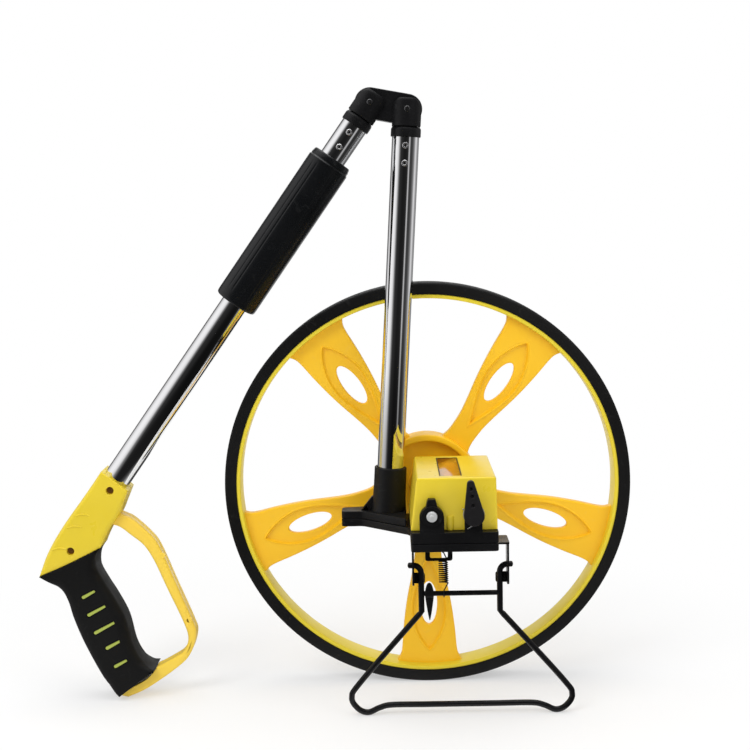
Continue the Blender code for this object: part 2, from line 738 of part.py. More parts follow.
def gears():
    """The axle's gear and the equal gear of the first drum, in mesh."""
    apart = Vector((DRUM_X, DRUM_Z - AXLE_Z))
    radius = apart.length / 2
    heading = math.degrees(math.atan2(apart.y, apart.x))
    bore = circle((0.0, 0.0), AXLE_R + GAP)
    turn = Matrix.Rotation(math.radians(heading), 4, "Z")
    drive = plate("drive_gear", [gear_outline(radius, GEAR_TEETH, 0.0), bore], GEAR_DEPTH,
                  GEAR_DEPTH + GEAR_WIDTH, facing(z=AXLE_Z) @ turn)
    node("drive_gear", drive, "nylon", (0, 0, AXLE_Z))
    phase = 0.5 if GEAR_TEETH % 2 == 0 else 0.0
    bore = circle((0.0, 0.0), DRUM_SHAFT_R + GAP)
    driven = plate("drum_gear", [gear_outline(radius, GEAR_TEETH, phase), bore], GEAR_DEPTH,
                   GEAR_DEPTH + GEAR_WIDTH, facing(DRUM_X, DRUM_Z) @ turn)
    node("drum_gear", driven, "nylon", (DRUM_X, 0, DRUM_Z))


# Base

def plan(z):
    return Matrix.Translation((0, 0, z))


def arm_outline(right):
    """Plan of the arm from its lug to the given right edge, seen from above."""
    slope = (ARM_FRONT - TUBE_DEPTH - LUG_HALF) / (ARM_BEND - BASE_LEFT)
    front = TUBE_DEPTH + LUG_HALF
    corner = LUG_HALF / 2
    lug = (arc((-LUG_LEFT + corner, -TUBE_DEPTH + LUG_BACK - corner), corner, 90, 180, 3)
           + arc((-LUG_LEFT + corner, -front + corner), corner, 180, 270, 3))
    return ([(-right, -BASE_REAR)] + [(-ARM_BEND, -BASE_REAR)] + lug
            + [(-ARM_BEND, -front), (-right, -front - slope * (ARM_BEND - right))])


def base_holes():
    x0 = BASE_SCREW_INSET - BASE_LEFT
    x1 = BASE_RIGHT - BASE_SCREW_INSET
    y0 = -COVER_REAR - BASE_SCREW_INSET
    y1 = -COVER_FRONT + BASE_SCREW_INSET
    return [(x0, y0), (x1, y0), (x0, y1), (x1, y1)]


def circle(centre, radius, steps=SMALL_STEPS):
    return arc(centre, radius, 0, 360 - 360 / steps, steps - 1)


def base_plate():
    slab = plate("slab", [rounded(-BASE_LEFT, BASE_RIGHT, -BASE_FRONT, -BASE_REAR, BASE_CORNER)],
                 -PLATE_T, 0.0, plan(PLATE_TOP))
    arm = plate("arm", [arm_outline(BASE_LEFT - BASE_CORNER)], -PLATE_T, 0.0, plan(PLATE_TOP))
    body = join(slab, arm)
    drills = [rod("drill", SCREW_R + GAP, PLATE_BOTTOM - OVERRUN, PLATE_TOP + OVERRUN,
                  Matrix.Translation((x, y, 0)), TINY_STEPS) for x, y in base_holes() + socket_holes()]
    drills += [rod("sink", SCREW_HEAD_R + GAP, PLATE_BOTTOM - OVERRUN, PLATE_BOTTOM + SCREW_HEAD_T + GAP,
                   Matrix.Translation((x, y, 0)), TINY_STEPS) for x, y in base_holes() + socket_holes()]
    drills += [rod("drill", SCREW_R + GAP, PLATE_BOTTOM - OVERRUN, PLATE_TOP - GAP,
                   Matrix.Translation((x, -STAND_DEPTH, 0)), TINY_STEPS) for x in BRACKET_SCREW_X]
    node("base_plate", cut(body, *drills), "black", (0, 0, PLATE_BOTTOM))


def ear_outline(half, bottom, shoulder, nub_half, nub_top):
    """Upright ear with a round top, in the drawing plane through its bore."""
    right = [(half, bottom)] + arc((0.0, shoulder), half, 0, 60, 5)
    if nub_half:
        right = [point for point in right if point[0] > nub_half] + [(nub_half, nub_top - nub_half / 2),
                                                                    (nub_half * 0.6, nub_top)]
    else:
        right += arc((0.0, shoulder), half, 72, 90, 2)
    return right + [(-x, y) for x, y in reversed(right) if abs(x) > half / 100]


def base_frame():
    slab = plate("slab", [rounded(-BASE_LEFT, BASE_RIGHT, -BASE_FRONT, -BASE_REAR, BASE_CORNER)],
                 -FRAME_T, 0.0, plan(BASE_TOP))
    bottom = -BASE_DROP - FRAME_T / 2
    ear = ear_outline(EAR_HALF, bottom, -EAR_SHOULDER, NUB_HALF, NUB_RISE)
    front = plate("ear", [ear], FRONT_EAR, BASE_FRONT, facing(z=AXLE_Z), BASE_CORNER / 6)
    rear_ear = ear_outline(EAR_HALF, bottom, -EAR_SHOULDER, 0.0, 0.0)
    rear = plate("ear", [rear_ear], BASE_REAR, BASE_REAR + EAR_T, facing(z=AXLE_Z))
    lever_ear = ear_outline(LEVER_EAR_HALF, bottom - RESET_RISE, 0.0, 0.0, 0.0)
    side = plate("ear", [lever_ear], FRONT_EAR, BASE_FRONT, facing(RESET_X, RESET_Z))
    body = join(slab, front, rear, side)
    drills = [rod("drill", SCREW_R + GAP, FRAME_BOTTOM - OVERRUN, BASE_TOP + OVERRUN,
                  Matrix.Translation((x, y, 0)), TINY_STEPS) for x, y in base_holes()]
    drills.append(rod("drill", BUSH_R + GAP, FRONT_EAR - OVERRUN, BASE_FRONT + OVERRUN,
                      facing(z=AXLE_Z), SMALL_STEPS))
    drills.append(rod("drill", BUSH_R + GAP, BASE_REAR - OVERRUN, BASE_REAR + EAR_T + OVERRUN,
                      facing(z=AXLE_Z), SMALL_STEPS))
    drills.append(rod("drill", RESET_SHAFT_R + GAP, FRONT_EAR - OVERRUN, BASE_FRONT + OVERRUN,
                      facing(RESET_X, RESET_Z), SMALL_STEPS))
    node("base_frame", cut(body, *drills), "black", (0, 0, BASE_TOP))


def socket_holes():
    """Screws that hold the socket's flange: one in the lug, one beside the socket."""
    return [(-LUG_LEFT + LUG_HALF + SCREW_R, -TUBE_DEPTH + (LUG_BACK - LUG_HALF) / 2),
            (-FLANGE_RIGHT - SCREW_HEAD_R, -TUBE_DEPTH - SOCKET_R - SCREW_HEAD_R - SOCKET_FLARE)]


def tube_socket():
    flange = plate("flange", [arm_outline(FLANGE_RIGHT)], 0.0, FLANGE_T, plan(FRAME_BOTTOM))
    rise = along(FOOT, TUBE_LEAN)
    cup = turned("cup", [(0.0, SOCKET_RISE), (SOCKET_R, SOCKET_RISE), (SOCKET_R, SOCKET_RISE / 2),
                         (SOCKET_R + SOCKET_FLARE, -FLANGE_T / 2), (0.0, -FLANGE_T / 2)], rise, ROUND_STEPS)
    outline = [(-GUSSET_REACH - SOCKET_R, 0.0), (-SOCKET_R / 2, 0.0), (-SOCKET_R / 2, GUSSET_RISE),
               (-SOCKET_R, GUSSET_RISE)]
    gusset = plate("gusset", [[(x, y - FLANGE_T / 2 if y == 0 else y) for x, y in outline]],
                   TUBE_DEPTH - GUSSET_T / 2, TUBE_DEPTH + GUSSET_T / 2, facing(-FOOT_X, FLANGE_TOP))
    body = join(flange, cup, gusset)
    drills = [rod("drill", TUBE_R + GAP, SOCKET_FLOOR, SOCKET_RISE + OVERRUN, rise, ROUND_STEPS)]
    for x, y in socket_holes():
        drills.append(rod("drill", SCREW_R + GAP, FRAME_BOTTOM - OVERRUN, FLANGE_TOP - GUSSET_T / 4,
                          Matrix.Translation((x, y, 0)), TINY_STEPS))
    node("tube_socket", cut(body, *drills), "black", FOOT)


def screw_up(x, y, head_bottom, tip):
    """Screw that goes in from below, with its head's underside facing down."""
    profile = [(0.0, tip), (SCREW_R, tip), (SCREW_R, head_bottom + SCREW_HEAD_T),
               (SCREW_HEAD_R, head_bottom + SCREW_HEAD_T), (SCREW_HEAD_R, head_bottom), (0.0, head_bottom)]
    return turned("screw", profile, Matrix.Translation((x, y, 0)), TINY_STEPS)


def base_screws():
    tip = COVER_BOTTOM + POST_RISE / 2
    screws = [screw_up(x, y, PLATE_BOTTOM, tip) for x, y in base_holes()]
    like_nodes("base_screw", screws, "steel", (0, 0, PLATE_BOTTOM))
    tip = FLANGE_TOP - GUSSET_T / 4 - GAP
    screws = [screw_up(x, y, PLATE_BOTTOM, tip) for x, y in socket_holes()]
    like_nodes("socket_screw", screws, "steel", (0, 0, PLATE_BOTTOM))


# Counter

def tapered(name, inset, low, high):
    """Box of the counter's outer shape, drawn in by an inset on its sides."""
    body = bmesh.new()
    bmesh.ops.create_cube(body, size=2.0)
    for vert in body.verts:
        top = vert.co.z > 0
        left = COVER_TOP_LEFT if top else COVER_LEFT
        right = COVER_TOP_RIGHT if top else COVER_RIGHT
        vert.co.x = right - inset if vert.co.x > 0 else inset - left
        vert.co.y = -COVER_REAR - inset if vert.co.y > 0 else inset - COVER_FRONT
        vert.co.z = high if top else low
    mesh = bpy.data.meshes.new(name)
    body.to_mesh(mesh)
    body.free()
    obj = bpy.data.objects.new(name, mesh)
    collection("work").objects.link(obj)
    if not inset:
        bevel = obj.modifiers.new("edge", "BEVEL")
        bevel.width = COVER_EDGE
        bevel.segments = 2
        bevel.limit_method = "ANGLE"
    return baked(obj, Matrix.Identity(4))


def counter_cover():
    shell = tapered("cover", 0.0, COVER_BOTTOM, COVER_TOP_Z)
    hollow = tapered("hollow", COVER_WALL, COVER_BOTTOM - OVERRUN, COVER_TOP_Z - COVER_WALL)
    shell = cut(shell, hollow)
    posts = [rod("post", POST_R, COVER_BOTTOM, COVER_BOTTOM + POST_RISE,
                 Matrix.Translation((x, y, 0)), SMALL_STEPS) for x, y in base_holes()]
    boss_y = -COVER_FRONT + COVER_WALL
    boss = rod("boss", BOSS_R, COVER_BOTTOM, COVER_BOTTOM + BOSS_RISE,
               Matrix.Translation((BOSS_X, boss_y, 0)), SMALL_STEPS)
    shell = join(shell, *posts, boss)
    window = block("window", (WINDOW_LEFT, -WINDOW_FRONT, COVER_TOP_Z - COVER_WALL - OVERRUN),
                   (WINDOW_RIGHT, -WINDOW_REAR, COVER_TOP_Z + OVERRUN))
    slot_half = AXLE_R + 4 * GAP
    slot = block("slot", (-slot_half, -COVER_FRONT - OVERRUN - BOSS_R, COVER_BOTTOM - OVERRUN),
                 (slot_half, -COVER_REAR + OVERRUN, AXLE_Z + slot_half))
    hole = rod("hole", RESET_SHAFT_R + 2 * GAP, COVER_FRONT - COVER_WALL - OVERRUN, COVER_FRONT + OVERRUN,
               facing(RESET_X, RESET_Z), SMALL_STEPS)
    drills = [rod("drill", SCREW_R + GAP, COVER_BOTTOM - OVERRUN, COVER_BOTTOM + POST_RISE / 2 + GAP,
                  Matrix.Translation((x, y, 0)), TINY_STEPS) for x, y in base_holes()]
    node("counter_cover", cut(shell, window, slot, hole, *drills), "lemon", (0, 0, COVER_BOTTOM), 30)


def counter_window():
    lens = block("lens", (WINDOW_LEFT + GAP, GAP - WINDOW_FRONT, COVER_TOP_Z - COVER_WALL),
                 (WINDOW_RIGHT - GAP, -WINDOW_REAR - GAP, COVER_TOP_Z - GAP))
    node("counter_window", lens, "amber", (DRUM_X, 0, COVER_TOP_Z))


def counter_carrier():
    """Bent plate with two cheeks that hold the drum shaft and the reset shaft."""
    left = DRUM_X - DRUM_SHAFT_R - CARRIER_MARGIN
    right = RESET_X + RESET_SHAFT_R + CARRIER_MARGIN
    bottom = BASE_TOP + GAP
    middle = CARRIER_T / 2
    floor = block("floor", (left + GAP, -CARRIER_FRONT - middle, bottom + GAP),
                  (right - GAP, -CARRIER_REAR - middle, bottom + CARRIER_T))
    top_left = DRUM_Z - AXLE_Z + DRUM_SHAFT_R + CARRIER_MARGIN / 2
    top_right = RESET_RISE + RESET_SHAFT_R + CARRIER_MARGIN
    base = bottom - AXLE_Z
    shoulder = DRUM_X + DRUM_SHAFT_R + CARRIER_MARGIN
    outline = [(left, base), (right, base), (right, top_right), (shoulder, top_left), (left, top_left)]
    cheeks = [plate("cheek", [outline], depth, depth + CARRIER_T, facing(z=AXLE_Z))
              for depth in (CARRIER_REAR, CARRIER_FRONT)]
    body = join(floor, *cheeks)
    through = (CARRIER_REAR - OVERRUN, CARRIER_FRONT + CARRIER_T + OVERRUN)
    drum_hole = rod("hole", DRUM_SHAFT_R + GAP, *through, facing(DRUM_X, DRUM_Z), SMALL_STEPS)
    reset_hole = rod("hole", RESET_SHAFT_R + GAP, *through, facing(RESET_X, RESET_Z), SMALL_STEPS)
    node("counter_carrier", cut(body, drum_hole, reset_hole), "steel", (DRUM_X, 0, bottom))


def counter_drums():
    centre = (DRUM_X, 0, DRUM_Z)
    ends = CARRIER_T / 2
    shaft = rod("drum_shaft", DRUM_SHAFT_R, CARRIER_REAR - ends, CARRIER_FRONT + CARRIER_T + ends,
                facing(DRUM_X, DRUM_Z), SMALL_STEPS)
    node("drum_shaft", shaft, "steel", centre)
    bore = DRUM_SHAFT_R + GAP
    for i in range(DRUM_COUNT):
        low = DRUM_FIRST + i * DRUM_PITCH + (DRUM_PITCH - DRUM_WIDTH) / 2
        drum = tube("drum", DRUM_R, bore, low, low + DRUM_WIDTH, facing(DRUM_X, DRUM_Z))
        node(f"digit_drum_{i + 1}", drum, "nylon", centre)


def reset_works():
    centre = (RESET_X, 0, RESET_Z)
    lever_front = BASE_FRONT + LEVER_STANDOFF + LEVER_T
    shaft = rod("reset_shaft", RESET_SHAFT_R, CARRIER_REAR - CARRIER_T / 2, lever_front - LEVER_T / 3,
                facing(RESET_X, RESET_Z), SMALL_STEPS)
    node("reset_shaft", shaft, "steel", centre)
    apart = Vector((DRUM_X - RESET_X, DRUM_Z - RESET_Z))
    reach = apart.length - DRUM_R - FINGER_CLEAR
    low = CARRIER_REAR + CARRIER_T + GAP
    high = CARRIER_FRONT - GAP
    bore = RESET_SHAFT_R + GAP
    comb = tube("comb", COMB_R, bore, low, high, facing(RESET_X, RESET_Z), SMALL_STEPS)
    heading = math.atan2(apart.y, apart.x) + COMB_TURN
    turn = facing(RESET_X, RESET_Z) @ Matrix.Rotation(heading, 4, "Z")
    for i in range(DRUM_COUNT):
        middle = DRUM_FIRST + (i + 0.5) * DRUM_PITCH
        finger = block("finger", ((bore + COMB_R) / 2, -FINGER_HALF, middle - FINGER_WIDTH / 2),
                       (reach, FINGER_HALF, middle + FINGER_WIDTH / 2), turn)
        comb = join(comb, finger)
    node("reset_comb", comb, "nylon", centre)


def reset_lever():
    centre = (RESET_X, 0, RESET_Z)
    back = BASE_FRONT + LEVER_STANDOFF
    front = back + LEVER_T
    turn = facing(RESET_X, RESET_Z) @ Matrix.Rotation(LEVER_TILT, 4, "Z")
    spread = math.degrees(math.asin((LEVER_R - LEVER_TIP_HALF) / LEVER_LENGTH))
    outline = (arc((0.0, 0.0), LEVER_R, 180 - spread, 360 + spread, 14)
               + arc((0.0, LEVER_LENGTH - LEVER_TIP_HALF), LEVER_TIP_HALF, spread, 180 - spread, 6))
    arm = plate("arm", [outline], back, front, turn, LEVER_T / 6)
    hub = rod("hub", LEVER_HUB_R, BASE_FRONT + GAP, back + LEVER_T / 2, turn, SMALL_STEPS)
    body = join(arm, hub)
    bore = rod("bore", RESET_SHAFT_R + GAP, BASE_FRONT - OVERRUN, front - LEVER_T / 3 + GAP, turn, SMALL_STEPS)
    dimples = [rod("dimple", DIMPLE_R, front - DIMPLE_DEPTH, front + OVERRUN,
                   turn @ Matrix.Translation((0, place, 0)), TINY_STEPS) for place in DIMPLE_AT]
    node("reset_lever", cut(body, bore, *dimples), "black", centre)


def lever_spring():
    """Torsion spring round the lever's hub: one leg on the base, one beside the lever."""
    place = facing(RESET_X, RESET_Z)
    per_turn = 10
    start = math.radians(-60)
    sweep = 2 * math.pi * COIL_TURNS + math.radians(210)
    steps = int(per_turn * sweep / (2 * math.pi))
    low = BASE_FRONT + COIL_WIRE_R + GAP
    climb = COIL_PITCH / (2 * math.pi)
    coil = []
    for i in range(steps + 1):
        angle = start + sweep * i / steps
        coil.append((COIL_R * math.cos(angle), COIL_R * math.sin(angle), low + climb * sweep * i / steps))
    away = Vector((coil[0][0] - coil[1][0], coil[0][1] - coil[1][1], 0)).normalized()
    first = Vector(coil[0]) + away * COIL_LEG
    last = coil[-1]
    end_angle = start + sweep
    outward = Vector((math.cos(end_angle), math.sin(end_angle), 0))
    tip = Vector(last) + outward * (COIL_WIRE_R * 4)
    points = [tuple(first)] + coil + [tuple(tip)]
    world = [tuple(place @ Vector(point)) for point in points]
    report_least_gap("lever spring", coil, COIL_WIRE_R, per_turn)
    node("lever_spring", wire("lever_spring", world, COIL_WIRE_R), "steel", (RESET_X, 0, RESET_Z), 60)


def report_least_gap(name, points, radius, per_turn):
    """Print the least gap between the turns of a coil, measured on its points."""
    places = [Vector(point) for point in points]
    least = math.inf
    for i, place in enumerate(places):
        for other in places[i + per_turn // 2:]:
            least = min(least, (place - other).length - 2 * radius)
    print(f"{name}: least gap to itself {least / MM:.2f} mm")


# Tubes and hinge

def lower_pin_place():
    return FOOT + up_axis(TUBE_LEAN) * LOWER_REACH


def upper_pin_place():
    return lower_pin_place() + up_axis(LINK_LEAN) * LINK_LENGTH


def drilled_tube(name, matrix, low, high, cross_holes):
    """Thin tube along the frame's z, drilled across at the given heights."""
    body = tube(name, TUBE_R, TUBE_R - TUBE_WALL, low, high, matrix)
    drills = [cross_rod("drill", RIVET_R + GAP, TUBE_R + OVERRUN, matrix, height) for height in cross_holes]
    return cut(body, *drills)


def cross_rod(name, radius, half, matrix, height, steps=TINY_STEPS):
    """Round bar through a tube, from front to back, at a height along the tube."""
    across = matrix @ Matrix.Translation((0, 0, height)) @ Matrix.Rotation(math.pi / 2, 4, "X")
    return rod(name, radius, -half, half, across, steps)


def rivets(matrix):
    """Two rivets with low round heads through the tube and the fork's spigot."""
    pieces = []
    for place in RIVET_AT:
        across = matrix @ Matrix.Translation((0, 0, -place)) @ Matrix.Rotation(math.pi / 2, 4, "X")
        face = TUBE_R + GAP
        crown = face + RIVET_HEAD_T
        profile = [(0.0, crown), (RIVET_HEAD_R / 2, crown), (RIVET_HEAD_R, face), (RIVET_R, face),
                   (RIVET_R, -face), (RIVET_HEAD_R, -face), (RIVET_HEAD_R / 2, -crown), (0.0, -crown)]
        pieces.append(turned("rivet", profile, across, TINY_STEPS))
    return pieces


def fork(lean, pin_place):
    """Fork for the link, with a cup for the tube and a spigot inside the tube."""
    turn = along(pin_place, lean)
    draw = leaning(pin_place, lean)
    skirt = -FORK_SKIRT
    spigot_r = TUBE_R - TUBE_WALL - GAP
    spigot_end = skirt - SPIGOT_LENGTH
    body = turned("fork", [
        (0.0, FORK_TOP), (FORK_R, FORK_TOP), (FORK_R, skirt), (TUBE_R + GAP, skirt),
        (TUBE_R + GAP, skirt + FORK_CUP), (spigot_r, skirt + FORK_CUP), (spigot_r, spigot_end),
        (spigot_r - SPIGOT_WALL, spigot_end), (spigot_r - SPIGOT_WALL, skirt), (0.0, skirt)], turn)
    wide = FORK_R + OVERRUN
    corner_x = FORK_R + GAP - FORK_CORNER
    corner_y = FORK_TOP - GAP / 2 - FORK_CORNER
    shape = [(-wide, spigot_end - OVERRUN), (wide, spigot_end - OVERRUN), (wide, -FORK_CORNER)]
    shape += arc((corner_x, corner_y), FORK_CORNER, 0, 90, 5)
    shape += arc((-corner_x, corner_y), FORK_CORNER, 90, 180, 5)
    shape.append((-wide, -FORK_CORNER))
    body = common(body, plate("shape", [shape], -wide, wide, draw))
    slot_half = LINK_T / 2 + GAP
    slot = block("slot", (-wide, -LINK_R - GAP, -slot_half), (wide, FORK_TOP + OVERRUN, slot_half), draw)
    pin_hole = rod("hole", PIN_R + GAP, -wide, wide, draw, SMALL_STEPS)
    drills = [cross_rod("drill", RIVET_R + GAP, wide, turn, -place) for place in RIVET_AT]
    return cut(body, slot, pin_hole, *drills)


def hinge_pin(name, pin_place, lean):
    half = FORK_R + GAP
    return rod(name, PIN_R, -half, half, leaning(pin_place, lean), SMALL_STEPS, PIN_R / 5)


def link():
    start = lower_pin_place()
    draw = leaning(start, LINK_LEAN)
    outline = arc((0.0, LINK_LENGTH), LINK_R, 0, 180, 16) + arc((0.0, 0.0), LINK_R, 180, 360, 16)
    holes = [circle((0.0, 0.0), PIN_R + GAP), circle((0.0, LINK_LENGTH), PIN_R + GAP)]
    body = plate("link", [outline] + holes, -LINK_T / 2, LINK_T / 2, draw)
    node("link", body, "black", start)


def lower_mast():
    pin = lower_pin_place()
    turn = along(pin, TUBE_LEAN)
    bottom = SOCKET_FLOOR + GAP - LOWER_REACH
    top = -FORK_SKIRT + FORK_CUP - GAP
    node("lower_tube", drilled_tube("lower_tube", turn, bottom, top, [-place for place in RIVET_AT]),
         "chrome", FOOT)
    node("lower_fork", fork(TUBE_LEAN, pin), "black", pin)
    like_nodes("lower_rivet", rivets(turn), "steel", pin)
    node("lower_pin", hinge_pin("lower_pin", pin, TUBE_LEAN), "steel", pin)


def upper_mast():
    pin = upper_pin_place()
    turn = along(pin, UPPER_LEAN)
    bottom = -COLLAR_AT - TUBE_IN_HANDLE
    top = -FORK_SKIRT + FORK_CUP - GAP
    body = drilled_tube("upper_tube", turn, bottom, top, [-place for place in RIVET_AT])
    a, b = scaled(BIG_SCREW_SHARES, HANDLE_SPAN)[0]
    drill = rod("drill", HANDLE_SCREW_R + GAP, -TUBE_R - OVERRUN, TUBE_R + OVERRUN,
                handle_frame() @ Matrix.Translation((a, b, 0)), SMALL_STEPS)
    node("upper_tube", cut(body, drill), "chrome", pin)
    node("upper_fork", fork(UPPER_LEAN, pin), "black", pin)
    like_nodes("upper_rivet", rivets(turn), "steel", pin)
    node("upper_pin", hinge_pin("upper_pin", pin, UPPER_LEAN), "steel", pin)


def lock_sleeve():
    pin = upper_pin_place()
    turn = along(pin, UPPER_LEAN)
    top = -SLEEVE_AT
    bottom = top - SLEEVE_LENGTH
    bore = FORK_R + GAP
    lip = TUBE_R + GAP
    step = SLEEVE_R - SLEEVE_STEP
    profile = [(bore, top), (step, top), (SLEEVE_R, top - SLEEVE_STEP), (SLEEVE_R, bottom + SLEEVE_END),
               (step, bottom + SLEEVE_END - SLEEVE_STEP), (step, bottom), (lip, bottom),
               (lip, bottom + SLEEVE_LIP), (bore, bottom + SLEEVE_LIP + SLEEVE_STEP)]
    node("lock_sleeve", turned("lock_sleeve", profile, turn, ROUND_STEPS, ring=True), "black", pin)


# Handle

def handle_frame():
    """Drawing plane of the handle: x down the tube from the handle's top, y across it."""
    down = -up_axis(UPPER_LEAN)
    top = upper_pin_place() + down * COLLAR_AT
    return frame(top, down, (math.cos(UPPER_LEAN), 0, -math.sin(UPPER_LEAN)))


def lengthened(stretch, before, after):
    """Stretch that goes straight on past its ends."""
    first, second = Vector(stretch[0]), Vector(stretch[1])
    last, previous = Vector(stretch[-1]), Vector(stretch[-2])
    start = first + (first - second).normalized() * before
    stop = last + (last - previous).normalized() * after
    return [tuple(start)] + stretch + [tuple(stop)]


def body_side(shares):
    return smoothed(scaled(shares, HANDLE_SPAN), 2)


def body_blank():
    left = lengthened(body_side(BODY_LEFT_SHARES), HANDLE_TRIM, HANDLE_TRIM)
    right = lengthened(body_side(BODY_RIGHT_SHARES), HANDLE_TRIM, HANDLE_TRIM)
    return left + right


def boundary(shares):
    """Line where the grip meets its neighbour, longer than the grip is wide."""
    return lengthened(scaled(shares, HANDLE_SPAN), 2 * GRIP_HALF, 2 * GRIP_HALF)


def body_region():
    line = boundary(BODY_GRIP_SHARES)
    reach = HANDLE_SPAN / 2
    return [(0.0, -reach), (line[0][0], -reach)] + line + [(0.0, reach)]


def grip_region():
    return boundary(BODY_GRIP_SHARES) + list(reversed(boundary(HEEL_SHARES[1:])))


def guard_outline():
    outer = smoothed(scaled(GUARD_OUTER_SHARES, HANDLE_SPAN), 2)
    heel = scaled(HEEL_SHARES, HANDLE_SPAN)
    inner = smoothed(scaled(GUARD_INNER_SHARES, HANDLE_SPAN), 2)
    return outer + heel[1:] + inner[1:]


def grip_sides(steps):
    return (smoothed(scaled(GRIP_LEFT_SHARES, HANDLE_SPAN), steps),
            smoothed(scaled(GRIP_RIGHT_SHARES, HANDLE_SPAN), steps))


def grip_blank():
    left, right = grip_sides(2)
    return lengthened(left, HANDLE_TRIM, HANDLE_TRIM) + lengthened(right, HANDLE_TRIM, HANDLE_TRIM)


def beside(stretch, distance):
    """Open stretch moved to its left by a distance."""
    result = []
    last = len(stretch) - 1
    for i, point in enumerate(stretch):
        ahead = Vector(stretch[min(i + 1, last)]) - Vector(stretch[max(i - 1, 0)])
        result.append(tuple(Vector(point) + Vector((-ahead.y, ahead.x)).normalized() * distance))
    return result


def core_outline():
    """Grip's sides drawn in by its wall, and run on into the body and the heel."""
    left, right = grip_sides(2)
    left = beside(left, GRIP_WALL)[1:]
    right = beside(right, GRIP_WALL)[:-1]
    return ([(left[0][0] - CORE_TOP, left[0][1])] + left + [(left[-1][0], left[-1][1] + CORE_HEEL)]
            + [(right[0][0], right[0][1] + CORE_HEEL)] + right + [(right[-1][0] - CORE_TOP, right[-1][1])])


def handle_plate(name, outline, region, half, rounding, grow):
    """Flat-sided piece of the handle with round edges, cut off square at its region's lines."""
    place = handle_frame()
    shape = offset(outline, grow)
    piece = plate(name, [shape], -half - grow, half + grow, place, rounding)
    if region:
        limit = offset(region, grow)
        thick = half + grow + OVERRUN
        piece = common(piece, plate("region", [limit], -thick, thick, place))
    return piece


def core_ribs(grow):
    """Ribs of the core that fill the slots in the grip, on both sides."""
    a_dir, b_dir = RIB_DIRECTION_SHARES
    heading = math.atan2(b_dir, a_dir)
    top = GRIP_HALF + OVERRUN if grow else GRIP_HALF - RIB_SINK
    ribs = []
    for (a, b), length in zip(scaled(RIB_CENTRE_SHARES, HANDLE_SPAN), RIB_LENGTHS):
        half = length / 2 - RIB_HALF
        radius = RIB_HALF + grow
        outline = arc((half, 0.0), radius, -90, 90, 3) + arc((-half, 0.0), radius, 90, 270, 3)
        turn = handle_frame() @ Matrix.Translation((a, b, 0)) @ Matrix.Rotation(heading, 4, "Z")
        ribs.append(plate("rib", [outline], -top, top, turn))
    return ribs


def handle_solid(grow):
    """Body, core and guard of the handle in one, made larger by a clearance."""
    body = handle_plate("body", body_blank(), body_region(), BODY_HALF, BODY_ROUND, grow)
    core = handle_plate("core", core_outline(), None, CORE_HALF, 0.0, grow)
    guard = handle_plate("guard", guard_outline(), None, GUARD_HALF, GUARD_ROUND, grow)
    return join(body, core, guard, *core_ribs(grow))


def handle_screw_places():
    big = scaled(BIG_SCREW_SHARES, HANDLE_SPAN)
    small = scaled(GUARD_SCREW_SHARES, HANDLE_SPAN)
    return ([(place, BODY_HALF, COUNTERBORE_R, HANDLE_SCREW_R) for place in big]
            + [(place, GUARD_HALF, GUARD_BORE_R, GUARD_SCREW_R) for place in small])


def handle_shells():
    place = handle_frame()
    origin = upper_pin_place()
    solid = handle_solid(0.0)
    cavity = rod("cavity", TUBE_R + GAP, -COLLAR_AT - TUBE_IN_HANDLE - GAP, -COLLAR_AT + OVERRUN,
                 along(origin, UPPER_LEAN))
    drills = []
    for (a, b), half, bore, shank in handle_screw_places():
        spot = place @ Matrix.Translation((a, b, 0))
        drills.append(rod("bore", bore, half - HEAD_SINK - HEAD_T - GAP, half + OVERRUN, spot, TINY_STEPS))
        drills.append(rod("drill", shank + GAP, -half / 2 - GAP, half, spot, TINY_STEPS))
    solid = cut(solid, cavity, *drills)
    other = solid.copy()
    other.data = solid.data.copy()
    collection("work").objects.link(other)
    reach = 2 * HANDLE_SPAN
    near = block("near", (-reach, -reach, GAP / 2), (reach, reach, reach), place)
    far = block("far", (-reach, -reach, -reach), (reach, reach, -GAP / 2), place)
    node("handle_front", common(solid, near), "lemon", origin)
    node("handle_back", common(other, far), "lemon", origin)


def grip():
    place = handle_frame()
    rubber = plate("grip", [grip_blank()], -GRIP_HALF, GRIP_HALF, place, GRIP_ROUND)
    thick = GRIP_HALF + OVERRUN
    rubber = common(rubber, plate("region", [offset(grip_region(), -GAP)], -thick, thick, place))
    node("grip", cut(rubber, handle_solid(GAP)), "grip", upper_pin_place())


def handle_screws():
    place = handle_frame()
    pieces = []
    for (a, b), half, bore, shank in handle_screw_places():
        spot = place @ Matrix.Translation((a, b, 0))
        head = bore - GAP
        top = half - HEAD_SINK
        profile = [(0.0, top), (head, top), (head, top - HEAD_T), (shank, top - HEAD_T), (shank, -half / 2),
                   (0.0, -half / 2)]
        pieces.append(turned("screw", profile, spot, TINY_STEPS))
    like_nodes("handle_screw", pieces, "steel", upper_pin_place())


# Stand

def stand_origin():
    return Vector((STAND_X, -STAND_DEPTH, PIVOT_Z))


